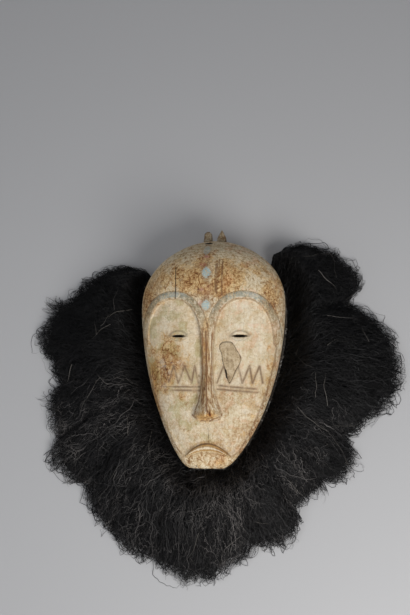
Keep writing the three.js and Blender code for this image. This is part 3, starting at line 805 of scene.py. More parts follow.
def lug(side):
    """One worn lug on the crown, as a stack of rounded sections: the right one is pointed."""
    rise = np.arange(LUG_RINGS + 1)[:, None] / LUG_RINGS
    if side > 0:
        slope = 0.12 * rise + 0.66 * smooth((rise - 0.4) / 0.6)
        tall, thinner, shift = LUG_HEIGHT, 0.45, 0.6
    else:
        slope = 0.28 * rise
        tall, thinner, shift = LUG_HEIGHT * 0.9, 0.3, -0.3
    cap = np.ones_like(rise)
    cap[-3:, 0] = LUG_CAP
    turn = 2 * math.pi * np.arange(LUG_SIDES) / LUG_SIDES
    across, deep = (np.copysign(np.abs(part) ** 0.7, part) for part in (np.cos(turn), np.sin(turn)))
    points = stack(side * LUG_OFFSET + shift * rise + LUG_WIDTH / 2 * (1 - slope) * cap * across,
                   DOME_HEIGHT - LUG_FOOT + (tall - 1) * rise,
                   LUG_DEPTH + LUG_THICKNESS / 2 * (1 - thinner * rise) * cap * deep).reshape(-1, 3)
    rough = lattice_noise(points, 5, 51 + side) * 0.5 + lattice_noise(points, 12, 53) * 0.7
    outward = (points - (side * LUG_OFFSET, DOME_HEIGHT, LUG_DEPTH)) * (1, 0, 1)
    points = points + unit(outward) * rough[:, None]
    index = closed_grid(LUG_RINGS + 1, LUG_SIDES)
    faces = grid_quads(index, True).tolist() + [index[0, :-1].tolist(), index[-1, -2::-1].tolist()]
    obj = mesh_object("lug", in_world(lying(points)), faces)
    set_fields(obj, points, LUG_ZONE)
    return obj


def orient(obj):
    """Turn the faces outwards, whichever way the rings ran."""
    work = bmesh.new()
    work.from_mesh(obj.data)
    bmesh.ops.recalc_face_normals(work, faces=work.faces)
    work.to_mesh(obj.data)
    work.free()


def combine(obj, other, operation):
    orient(other)
    modifier = obj.modifiers.new("combine", "BOOLEAN")
    modifier.operation = operation
    modifier.solver = "MANIFOLD"
    modifier.object = other
    bpy.context.view_layer.objects.active = obj
    bpy.ops.object.modifier_apply(modifier=modifier.name)
    bpy.data.objects.remove(other, do_unlink=True)


def make_mask():
    wood = carved_mask()
    for side in (-1, 1):
        combine(wood, lug(side), "UNION")
    for eye in EYES:
        combine(wood, prism(eye_outline(*eye), *EYE_CUT), "DIFFERENCE")
    combine(wood, prism(plug_outline(1.0, HOLE_WOBBLE), *PLUG_CUT), "DIFFERENCE")
    wood.data.shade_smooth()
    return wood


# The plug let into the cheek

def make_plug():
    """Rings from the plug's middle to its outline on the panel's floor, with real thickness."""
    outline = plug_outline(PLUG_SHRINK, PLUG_WOBBLE)
    middle = outline.mean(axis=0)
    spread = (np.arange(1, PLUG_RINGS + 1)[:, None] / PLUG_RINGS) ** 0.8
    x, y = np.moveaxis(middle + (outline - middle) * spread[..., None], -1, 0)
    floor = front_at(x, y) - relief_at(x, y)
    place = stack(x, y, floor)
    split = np.hypot((x - SPLIT_PLACE[0]) / SPLIT_HALF[0], (y - SPLIT_PLACE[1]) / SPLIT_HALF[1])
    top = floor - PLUG_SUNK - 0.9 * smooth((spread - 0.93) / 0.07)
    top += 0.35 * lattice_noise(place, 7, 61) + 0.18 * lattice_noise(place, 2.6, 62)
    top -= SPLIT_DEPTH * (1 - smooth((split - 0.55) / 0.5))
    centre = float(front_at(*middle) - relief_at(*middle))
    sheets = [stack(x, y, z).reshape(-1, 3) for z in (top, floor - PLUG_DEPTH)]
    poles = [[*middle, centre - PLUG_SUNK], [*middle, centre - PLUG_DEPTH]]
    points = np.concatenate([*sheets, poles])
    index = closed_grid(PLUG_RINGS, len(outline))
    faces = []
    for level in range(2):
        grid = index + level * x.size
        fan = stack(2 * x.size + level, grid[0, :-1], grid[0, 1:])
        faces += fan.tolist() + grid_quads(grid, True).tolist()
    edge = index[-1, :-1]
    faces += ring_quads(edge, edge + x.size).tolist()
    obj = mesh_object("plug_filler", in_world(lying(points)), faces)
    orient(obj)
    set_field(obj, "face", points)
    return obj


# Routes round the foot of the wall

def from_middle(angle, reach):
    """The place at an angle and a reach from the middle of the wreath."""
    return WREATH_MIDDLE[0] + np.cos(angle) * reach, WREATH_MIDDLE[1] + np.sin(angle) * reach


def wall_line_at(level):
    """A level line round the wall of the mask, in the lying frame before its shift."""
    steps = 60
    heights = DOME_HEIGHT * np.sin(np.arange(1, steps + 1) / steps * math.pi / 2) ** 1.15
    chin = np.sin((np.arange(13) / 12 - 0.5) * math.pi)
    y = np.concatenate([heights, heights[-2::-1], np.zeros(13)])
    across = np.concatenate([np.ones(steps), -np.ones(steps - 1), chin])
    x = lean_at(y) + half_width_at(y) * across
    top, end = lying(stack(x, y, front_at(x, y))), lying(outer_low(x, y))
    at = (level - end[:, 2]) / (top[:, 2] - end[:, 2])
    return (end + (top - end) * at[:, None])[:, :2]


def reach_beyond(line, angle, gap):
    """Distance from the middle of the wreath to the line set out by a gap, per angle."""
    angle = np.atleast_1d(angle)
    dx, dy = np.cos(angle), np.sin(angle)
    reach = np.zeros(len(angle))
    mx, my = WREATH_MIDDLE
    for (ax, ay), (bx, by) in zip(line, np.roll(line, -1, axis=0)):
        length = math.hypot(bx - ax, by - ay)
        if length < 1e-6:
            continue
        ex, ey = (bx - ax) / length, (by - ay) / length
        side = math.copysign(1, (ax - mx) * ey - (ay - my) * ex)
        px, py = ax - mx + side * ey * gap, ay - my - side * ex * gap
        turn = dx * ey - dy * ex
        with np.errstate(divide="ignore", invalid="ignore"):
            along = (px * ey - py * ex) / turn
            at = (px * dy - py * dx) / turn
        good = (np.abs(turn) > 1e-9) & (along > 0) & (at >= -gap) & (at <= length + gap)
        reach = np.where(good, np.maximum(reach, along), reach)
    return reach


# Twine: two plies laid together, with a wrapped knot between every two bundles

def tube(points, radius, sides):
    """Vertices and faces of a tube along a polyline, closed by caps."""
    tangent = unit(np.gradient(points, axis=0))
    flat = unit(np.cross(tangent, UP))
    lift = np.cross(flat, tangent)
    turn = np.arange(sides)[:, None] / sides * 2 * math.pi
    ring = flat[:, None] * np.cos(turn) + lift[:, None] * np.sin(turn)
    radius = np.broadcast_to(radius, len(points))[:, None, None]
    index = closed_grid(len(points), sides)
    caps = [index[0, -2::-1].tolist(), index[-1, :-1].tolist()]
    return (points[:, None] + ring * radius).reshape(-1, 3), grid_quads(index).tolist() + caps


def make_twine():
    wall = wall_line_at(TWINE_HEIGHT)
    vertices, faces = [], []

    def add(points, radius, sides):
        start = sum(map(len, vertices))
        places, quads = tube(points, radius, sides)
        vertices.append(places)
        faces.extend([[i + start for i in face] for face in quads])

    ends = BUNDLES[-1][1] + TWINE_END, BUNDLES[0][2] - TWINE_END
    angle = np.radians(np.linspace(*ends, TWINE_STEPS + 1))
    reach = reach_beyond(wall, angle, TWINE_RADIUS + TWINE_SLACK)
    smoothed = np.convolve(np.pad(reach, 4, mode="edge"), np.ones(9) / 9, mode="valid")
    x, y = from_middle(angle, np.maximum(smoothed, reach))
    centre = stack(x, y, TWINE_HEIGHT + 0.6 * lattice_noise(stack(x, y, 0.0), 30, 71))
    outward = stack(np.cos(angle), np.sin(angle), 0.0)
    run = np.concatenate([[0], np.cumsum(np.linalg.norm(np.diff(centre, axis=0), axis=1))])
    for ply in range(2):
        phase = (run / PLY_TWIST + ply * math.pi)[:, None]
        add(centre + (outward * np.cos(phase) + UP * np.sin(phase)) * PLY_OFFSET, PLY_RADIUS, 7)

    rng = np.random.default_rng(72)
    turn = np.linspace(0, 2 * math.pi, 15)[:, None]
    t = np.linspace(0, 1, TAIL_POINTS)[:, None]
    for bundle in BUNDLES[:-1]:
        at = math.radians(bundle[1])
        out = reach_beyond(wall, at, KNOT_RADIUS + TWINE_SLACK - 0.4)[0]
        middle = np.array([*from_middle(at, out), TWINE_HEIGHT])
        away = np.array([math.cos(at), math.sin(at), 0.0])
        side = np.array([-math.sin(at), math.cos(at), 0.0])
        for wrap in range(KNOT_WRAPS):
            lean = rng.uniform(-WRAP_LEAN, WRAP_LEAN)
            add(middle + side * (wrap - 1) * WRAP_STEP + away * np.cos(turn) * WRAP_HALF[0]
                + UP * np.sin(turn) * WRAP_HALF[1] + side * (np.sin(turn) * lean), WRAP_RADIUS, 6)
        for _ in range(rng.integers(0, 2)):
            length = rng.uniform(*TAIL_LENGTHS)
            lean = rng.uniform(-TAIL_LEAN, TAIL_LEAN)
            add(middle + away * (1.5 + t * length * 0.8) + side * (t * length * lean)
                + UP * (2.5 * np.sin(t * 2.6) + 1.2), np.linspace(*TAIL_RADII, TAIL_POINTS), 5)
    return mesh_object("twine_plies", in_world(np.concatenate(vertices)), faces)


# Raffia

# Kinds of fibre: how many to 17 degrees of the wreath, points along each, start as a share of the
# reach, length in millimetres (below 2, a share of the reach), spread of direction, bend, crimp
# and its wavelength, share of the bundle's height, lift above it, width, limit past the reach,
# and tone from dull to bright
Fibre = namedtuple("Fibre", "count steps starts lengths spread bend crimp waves depths lifts widths "
                            "past tones")
FIBRES = {
    "strands": (460, 13, (0.0, 0.7), (0.2, 0.62), 0.26, 0.55, 0.34, (15, 42), (0.87, 1.0), (0, 5),
                (0.6, 1.2), (-12, 10), (0.0, 0.82)),
    "roots": (120, 10, (0.0, 0.08), (16, 50), 0.5, 1.2, 0.6, (12, 26), (1.0, 1.0), (3, 15), (0.7, 1.3),
              (0, 1), (0.0, 0.6)),
    "tangle": (620, 11, (0.22, 0.98), (16, 40), 0.8, 1.5, 1.05, (6, 16), (0.88, 1.0), (0, 5),
               (0.6, 1.15), (-14, 6), (0.0, 0.92)),
    "kinks": (165, 12, (0.03, 0.97), (20, 60), 0.4, 0.95, 0.48, (10, 30), (0.95, 1.0), (1, 7),
              (0.45, 0.85), (-12, 6), (0.42, 0.84)),
    "fringe": (360, 13, (0.72, 1.0), (20, 58), 0.9, 2.2, 0.8, (11, 24), (0.3, 0.95), (0, 4), (0.5, 1.1),
               (-10, 14), (0.0, 0.5)),
    "wisps": (7, 18, (0.9, 1.0), (50, 130), 0.8, 3.2, 0.4, (26, 60), (0.3, 0.9), (0, 4), (0.7, 1.1),
              (10, 30), (0.0, 0.3)),
    "under": (220, 8, (0.0, 0.8), (0.25, 0.6), 0.3, 0.7, 0.5, (15, 42), (0.0, 0.0), (0.5, 2.6),
              (1.0, 2.0), (-12, 8), (0.0, 0.8)),
    "straws": (2.6, 9, (0.1, 0.9), (25, 85), 1.1, 0.5, 0.2, (30, 60), (0.95, 1.0), (3, 8), (0.7, 1.15),
               (-10, 0), (0.97, 1.0)),
}
LOCK_SIZE = 30.0  # fibres this near each other run alike
LOCK_TURN = 0.75
TUFT_WIDTHS = (2.6, 7.5)  # degrees of the wreath
TUFT_REACH = 9.0
TUFT_STEPS = 18
TUFT_FIBRE_WIDTHS = (0.8, 1.5)
TUFT_ROOT = 32.0  # how far inside the edge a loose tuft starts
TUFT_CURLS = (3, 11)
TUFT_LIFTS = (9, 17)
LOOSE_TUFTS = {  # bundle: angle and reach from the wreath's middle, and how many fibres
    "raffia_brow_left": (-201, 406, 56),
    "raffia_left_lower": (-167, 380, 24),
    "raffia_jaw_right": (-49, 344, 26),
}
MOST_PAST = 25.0
RIBBON_FLATNESS = 0.55
RIBBON_TWIST = 1.6
CORE_GRID = (27, 21)
CORE_REACH = 0.93
CORE_THICKNESS = 0.86
CORE_LIFT = 3.5
STRAW_TONE = 0.96
PALEST = 0.94
LOWEST = 0.3  # a fibre's least height off the floor
FIRST_SEED = 100
FIBRE_STEP = 17.0  # degrees of the wreath to which the counts belong
BUNDLE_OVERLAP = 0.12  # how far fibres stray over the next bundle, as a share of the width
FOOT_CLEARANCE = 4.0
VALLEY_FILL = 0.7
FOLD_BACK = 0.6
RIM_FALL = 30.0


class Bundle:
    """One bundle's outline and thickness, as in the solids."""

    def __init__(self, row, foot_line):
        self.name, self.start, self.end, self.tip, self.sides, self.thick = row
        samples = np.linspace(-0.4, 1.4, 61)
        self.foot_table = samples, reach_beyond(foot_line, self.angle(samples), BUNDLE_WALL_GAP)
        self.low = 0.03 if row == BUNDLES[-1] else -BUNDLE_OVERLAP
        self.high = 0.97 if row == BUNDLES[0] else 1 + BUNDLE_OVERLAP

    def angle(self, v):
        return np.radians(self.start + (self.end - self.start) * v)

    def outer(self, v):
        across = np.clip(np.abs(v * 2 - 1), 0, 1)
        edge = self.sides[0] + (self.sides[1] - self.sides[0]) * np.clip(v, 0, 1)
        return edge + (self.tip - max(self.sides)) * np.sqrt(np.maximum(0, 1 - across ** 2.2))

    def foot(self, v):
        return np.interp(v, *self.foot_table)

    def height(self, u, v):
        rise = smooth((self.outer(v) - self.foot(v)) * u / BUNDLE_RUN)
        fall = 1 - smooth((u - 0.45) / 0.55)
        full = (BUNDLE_FOOT + (self.thick - BUNDLE_FOOT) * rise * fall
                + (BUNDLE_TIP_HEIGHT - BUNDLE_FOOT) * (1 - fall))
        rounded = np.sqrt(np.maximum(0, 1 - np.clip(np.abs(v * 2 - 1), 0, 1) ** 3))
        crown = VALLEY_SHARE * rise + (1 - VALLEY_SHARE * rise) * rounded
        return BUNDLE_EDGE + (full - BUNDLE_EDGE) * crown

    def place(self, u, v, lift):
        """A place at share u of the reach, v of the width, and a height in millimetres."""
        foot = self.foot(v)
        return stack(*from_middle(self.angle(v), foot + (self.outer(v) - foot) * u), lift)

    def share_of(self, x, y):
        """A place's share of the width, and its distance from the wreath's middle."""
        x, y = x - WREATH_MIDDLE[0], y - WREATH_MIDDLE[1]
        turned = np.arctan2(y, x) - math.radians((self.start + self.end) / 2)
        turned = (turned + math.pi) % (2 * math.pi) - math.pi
        return 0.5 + turned / math.radians(self.end - self.start), np.hypot(x, y)


def folded(value, low, high):
    """Values past the limits, turned back as a bent fibre is."""
    value = np.where(value > high, high - FOLD_BACK * (value - high), value)
    return np.where(value < low, low + FOLD_BACK * (low - value), value)


def fibres_over(bundle, rng, count, kind):
    """Crimped fibres that wander over a bundle; returns paths [fibre, step, xyz] and widths."""
    def draw(span):
        return rng.uniform(span[0], span[1], (count, 1))

    def wave(quicker=1):
        return np.sin(2 * math.pi * (run / draw(kind.waves) * quicker + draw((0, 1))))

    v = rng.uniform(bundle.low, bundle.high, (count, 1))
    u = draw(kind.starts)
    reach = np.maximum(bundle.outer(v) - bundle.foot(v), 1)
    length = draw(kind.lengths) * (reach if kind.lengths[1] < 2 else 1)
    t = np.linspace(0, 1, kind.steps)[None]
    run = length * t
    start = bundle.place(u, v, 0.0)
    lock = lattice_noise(start.reshape(-1, 3), LOCK_SIZE, 61)[:, None]
    turned = LOCK_TURN * lock + rng.normal(0, kind.spread, (count, 1))
    turned = turned + rng.normal(0, kind.bend, (count, 1)) * t
    turned = turned + kind.crimp * wave()
    turned = turned + 0.4 * kind.crimp * wave(1.7)
    heading = bundle.angle(v) + turned
    step = length / (kind.steps - 1)
    x = start[..., 0] + np.cumsum(np.cos(heading) * step, axis=1)
    y = start[..., 1] + np.cumsum(np.sin(heading) * step, axis=1)
    v, away = bundle.share_of(x, y)
    v = folded(v, bundle.low, bundle.high)
    outer, foot = bundle.outer(v), bundle.foot(v)
    tip = np.degrees(bundle.angle(v[:, -1:])) * (1, 0, 0)
    tuft = sum(lattice_noise(tip, width, 71) for width in TUFT_WIDTHS)[:, None]
    most = np.minimum(draw(kind.past) + TUFT_REACH * tuft, MOST_PAST)
    away = folded(away, foot + FOOT_CLEARANCE, outer + most)
    u = np.clip((away - foot) / np.maximum(outer - foot, 1), 0, 1)
    top = bundle.height(u, 0.5 + (np.clip(v, 0, 1) - 0.5) * VALLEY_FILL)
    ripple = 1.6 * kind.crimp * wave()
    fall = np.clip((outer - away) / RIM_FALL, 0.15, 1)
    lift = top * draw(kind.depths) + (draw(kind.lifts) + ripple) * fall
    lift = np.maximum(lift - 0.35 * np.maximum(0, away - outer), 0.8)
    return stack(*from_middle(bundle.angle(v), away), lift), rng.uniform(*kind.widths, count)


def loose_tuft(bundle, degrees, reach, count, rng):
    """Fibres pulled out past a bundle's edge into a loose curled tuft."""
    def draw(*span):
        return rng.uniform(*span, (count, 1))

    angle = math.radians(degrees)
    edge = float(bundle.outer((degrees - bundle.start) / (bundle.end - bundle.start)))
    t = np.linspace(0, 1, TUFT_STEPS)[None]
    curl = draw(*TUFT_CURLS) * t ** 0.7
    phase = 2 * math.pi * (draw(0.6, 2.2) * t + draw(0, 1))
    away = edge - TUFT_ROOT + (reach - edge + 25) * t * draw(0.6, 1.0) + curl * np.sin(phase)
    aside = rng.normal(0, 8, (count, 1)) + rng.normal(0, 9, (count, 1)) * t + curl * np.cos(phase)
    lift = np.maximum(draw(*TUFT_LIFTS) * (1 - 0.75 * t) + 2.5 * np.sin(phase * 0.8), 0.8)
    x, y = from_middle(angle, away)
    paths = stack(x - math.sin(angle) * aside, y + math.cos(angle) * aside, lift)
    return paths, rng.uniform(*TUFT_FIBRE_WIDTHS, count)


def ribbons(paths, widths, rng):
    """Thin flat fibres along paths [fibre, step, xyz]; returns vertices and quads."""
    count, steps, _ = paths.shape
    t = np.linspace(0, 1, steps)[None]
    tangent = unit(np.gradient(paths, axis=1))
    flat = unit(np.cross(tangent, UP))
    lift = np.cross(flat, tangent)
    turn = rng.uniform(-1, 1, (count, 1)) * RIBBON_FLATNESS * math.pi / 2
    turn = (turn + t * rng.uniform(-RIBBON_TWIST, RIBBON_TWIST, (count, 1)))[..., None]
    half = widths[:, None] / 2 * (1 - 0.75 * t ** 3)
    side = (flat * np.cos(turn) + lift * np.sin(turn)) * half[..., None]
    vertices = np.stack([paths - side, paths + side], axis=2).reshape(-1, 3)
    base = (np.arange(count)[:, None] * steps + np.arange(steps - 1)[None]) * 2
    return vertices, stack(base, base + 1, base + 3, base + 2).reshape(-1, 4)


def core(bundle):
    """The dark matted heart of a bundle: a lumpy closed form a little inside the solid."""
    rows, columns = CORE_GRID
    u = np.linspace(0, 1, rows)[:, None] ** 1.1 * CORE_REACH
    u, v = np.broadcast_arrays(u, np.linspace(0.02, 0.98, columns))
    lift = bundle.height(u, v) * CORE_THICKNESS
    top = bundle.place(u, v, lift)
    rough = 5.5 * lattice_noise(top, 15, 81) + 2.5 * lattice_noise(top, 6, 82)
    top[..., 2] = np.maximum(top[..., 2] + rough * np.clip(lift / 30, 0.1, 1), 5.0)
    low = bundle.place(u, v, CORE_LIFT)
    index = np.arange(u.size).reshape(rows, columns)
    loop = np.concatenate([index[0, :-1], index[:-1, -1], index[-1, :0:-1], index[:0:-1, 0]])
    skirt = ring_quads(loop, loop + u.size)[:, FLIPPED]
    quads = np.concatenate([grid_quads(index, True), grid_quads(index) + u.size, skirt])
    return np.concatenate([top.reshape(-1, 3), low.reshape(-1, 3)]), quads


def painted_light_and_shade(x, y):
    """How pale the fibres are painted, standing in for light and shade: darker towards the crown and on
    the right side, on the right most of all low down, with a painted pool of light under the chin.
    """
    up = np.where(x < 0, (y - 90) / 300, (y - 60) / 420)
    right = np.maximum(x, 0) * (1 / 1400 + (1 / 600 - 1 / 1400) * smooth((100 - y) / 80))
    return np.clip(1 - up - right, 0.3, 0.98) + 0.7 * bell((y + 32) / 28) * bell(x / 85)


def make_bundle(row, seed, foot_line):
    bundle = Bundle(row, foot_line)
    rng = np.random.default_rng(seed)
    parts, faces, tones = [], [], []

    def add(mesh, tone):
        vertices, quads = mesh
        faces.append(quads + sum(map(len, parts)))
        parts.append(vertices)
        tones.append(np.repeat(tone, len(vertices) // len(tone)))

    add(core(bundle), [0.0])
    for kind in map(Fibre._make, FIBRES.values()):
        count = round(kind.count * (bundle.end - bundle.start) / FIBRE_STEP)
        paths, widths = fibres_over(bundle, rng, count, kind)
        mesh = ribbons(paths, widths, rng)
        dull, bright = kind.tones
        tone = dull + (bright - dull) * rng.random(count) ** 1.5
        if bright < STRAW_TONE:
            middles = paths[:, kind.steps // 2]
            tone *= 1 + 0.4 * lattice_noise(middles, LOCK_SIZE, 83)
            # Painted light and shade on the fibres' tone: darker towards the crown and the right, a
            # painted pool of light under the chin
            tone *= painted_light_and_shade(middles[:, 0], middles[:, 1])
            tone = np.minimum(tone, PALEST)
        add(mesh, tone)
    if bundle.name in LOOSE_TUFTS:
        mesh = ribbons(*loose_tuft(bundle, *LOOSE_TUFTS[bundle.name], rng), rng)
        add(mesh, 0.5 * rng.random(LOOSE_TUFTS[bundle.name][-1]))
    points = np.concatenate(parts)
    points[:, 2] = np.maximum(points[:, 2], LOWEST)
    obj = mesh_object(bundle.name + "_fibres", in_world(points), np.concatenate(faces))
    set_field(obj, "tone", np.concatenate(tones))
    return obj


# Materials

class Value:
    """A node's output, on which arithmetic adds the nodes for it."""

    def __init__(self, nodes, socket):
        self.nodes, self.socket = nodes, socket

    def __rsub__(self, other):
        return self.nodes.math("SUBTRACT", other, self)


def adding(operation):
    return lambda *values: values[0].nodes.math(operation, *values)


for method, operation in {"add": "ADD", "sub": "SUBTRACT", "mul": "MULTIPLY", "rmul": "MULTIPLY",
                          "truediv": "DIVIDE", "pow": "POWER", "abs": "ABSOLUTE"}.items():
    setattr(Value, f"__{method}__", adding(operation))


class Nodes:
    """A short way to write a material's node tree, with its colour as it is laid on."""

    def __init__(self, name):
        self.material = bpy.data.materials.new(name)
        self.material.use_nodes = True
        self.tree = self.material.node_tree
        self.colour = None

    def put(self, socket, value):
        if isinstance(value, Value):
            self.tree.links.new(value.socket, socket)
        else:
            socket.default_value = (*value, 1) if socket.type == "RGBA" else value

    def make(self, kind, inputs, output=0, **settings):
        """Add a node with its settings and inputs; returns one output."""
        node = self.tree.nodes.new("ShaderNode" + kind)
        for key, value in settings.items():
            setattr(node, key, value)
        for key, value in inputs.items():
            self.put(node.inputs[key], value)
        return Value(self, node.outputs[output])

    def field(self, name, output="Fac"):
        return self.make("Attribute", {}, output, attribute_name=name)

    def math(self, operation, *values):
        return self.make("Math", dict(enumerate(values)), operation=operation)

    def lean(self, noise, amount):
        """A noise's swing about zero."""
        return self.math("MULTIPLY_ADD", noise, amount, -amount / 2)

    def ramp(self, value, low, high, to_low=0.0, to_high=1.0, kind="SMOOTHSTEP"):
        inputs = {"Value": value, "From Min": low, "From Max": high,
                  "To Min": to_low, "To Max": to_high}
        return self.make("MapRange", inputs, "Result", clamp=True, interpolation_type=kind)

    def noise(self, vector, scale, detail=4.0, rough=0.55, distort=0.0, output="Fac"):
        inputs = {"Vector": vector, "Scale": scale, "Detail": detail, "Roughness": rough,
                  "Distortion": distort}
        return self.make("TexNoise", inputs, output)

    def stretch(self, vector, scale):
        return self.make("VectorMath", {0: vector, 1: scale}, operation="MULTIPLY")

    def mix(self, factor, a, b, blend="MIX"):
        return self.make("Mix", {0: factor, 6: a, 7: b}, 2, data_type="RGBA", blend_type=blend)

    def steps(self, value, stops):
        """A colour for each value, from stops of place and colour."""
        made = self.make("ValToRGB", {0: value})
        elements = made.socket.node.color_ramp.elements
        while len(elements) < len(stops):
            elements.new(1.0)
        for element, (place, colour) in zip(elements, stops):
            element.position = place
            element.color = (*colour, 1)
        return made

    def crackle(self, vector, scale, warp):
        """Distance to the nearest line of a net of fine cracks."""
        drift = self.noise(vector, scale * 1.5, 2.0, 0.5, output="Color")
        moved = self.make("VectorMath", {0: drift, 1: (warp, warp, warp), 2: vector},
                          operation="MULTIPLY_ADD")
        inputs = {"Vector": moved, "Scale": scale}
        return self.make("TexVoronoi", inputs, "Distance", feature="DISTANCE_TO_EDGE")

    def bump(self, height, distance, strength=0.6, **normal):
        inputs = {"Height": height, "Distance": distance, "Strength": strength, **normal}
        return self.make("Bump", inputs)

    def lay(self, amount, tint, blend="MIX"):
        """Lay a tint over the colour so far."""
        self.colour = self.mix(amount, self.colour, tint, blend)

    def soak(self, amount, tint):
        """Let a tint soak into the colour so far."""
        self.lay(amount, tint, "MULTIPLY")

    def finished(self, roughness, specular=0.5, **normal):
        """The material, once its shader has what it shows."""
        inputs = {"Base Color": self.colour, "Roughness": roughness,
                  "Specular IOR Level": specular, **normal}
        for key, value in inputs.items():
            self.put(self.tree.nodes["Principled BSDF"].inputs[key], value)
        return self.material


# Painted diamonds down the forehead: middle, half width and height, tint and strength
DIAMONDS = (
    (-8, 423, 7.5, 11, (0.44, 0.50, 0.48), 0.8), (-4, 377, 9.5, 12, (0.44, 0.60, 0.62), 0.9),
    (-3, 313.5, 9, 11, (0.42, 0.57, 0.58), 0.85), (-7, 402, 9, 13, (0.30, 0.18, 0.11), 0.4),
    (-1, 342, 10, 15, (0.33, 0.17, 0.10), 0.42), (-7, 409, 7, 3.4, (0.60, 0.27, 0.24), 0.6),
    (-12, 393, 8, 4.5, (0.40, 0.13, 0.10), 0.55), (-12, 343, 4, 5, (0.55, 0.27, 0.24), 0.5),
    (-14, 318, 5, 6, (0.60, 0.32, 0.28), 0.4),
)

# Tints across the lips, from the top (0) to the bottom (1): place, reach, strength and tint; the cream
# band at 0.66 is a painted highlight on the upper lip
LIP_TINTS = (
    (0.0, 0.17, 0.8, (0.20, 0.115, 0.055)), (0.22, 0.15, 0.8, (0.53, 0.29, 0.085)),
    (0.42, 0.11, 0.7, (0.34, 0.19, 0.07)), (0.66, 0.17, 0.65, (0.84, 0.73, 0.53)),
    (0.98, 0.15, 0.9, (0.46, 0.255, 0.075)), (1.2, 0.15, 0.6, (0.64, 0.48, 0.26)),
    (1.44, 0.12, 0.5, (0.40, 0.26, 0.12)),
)


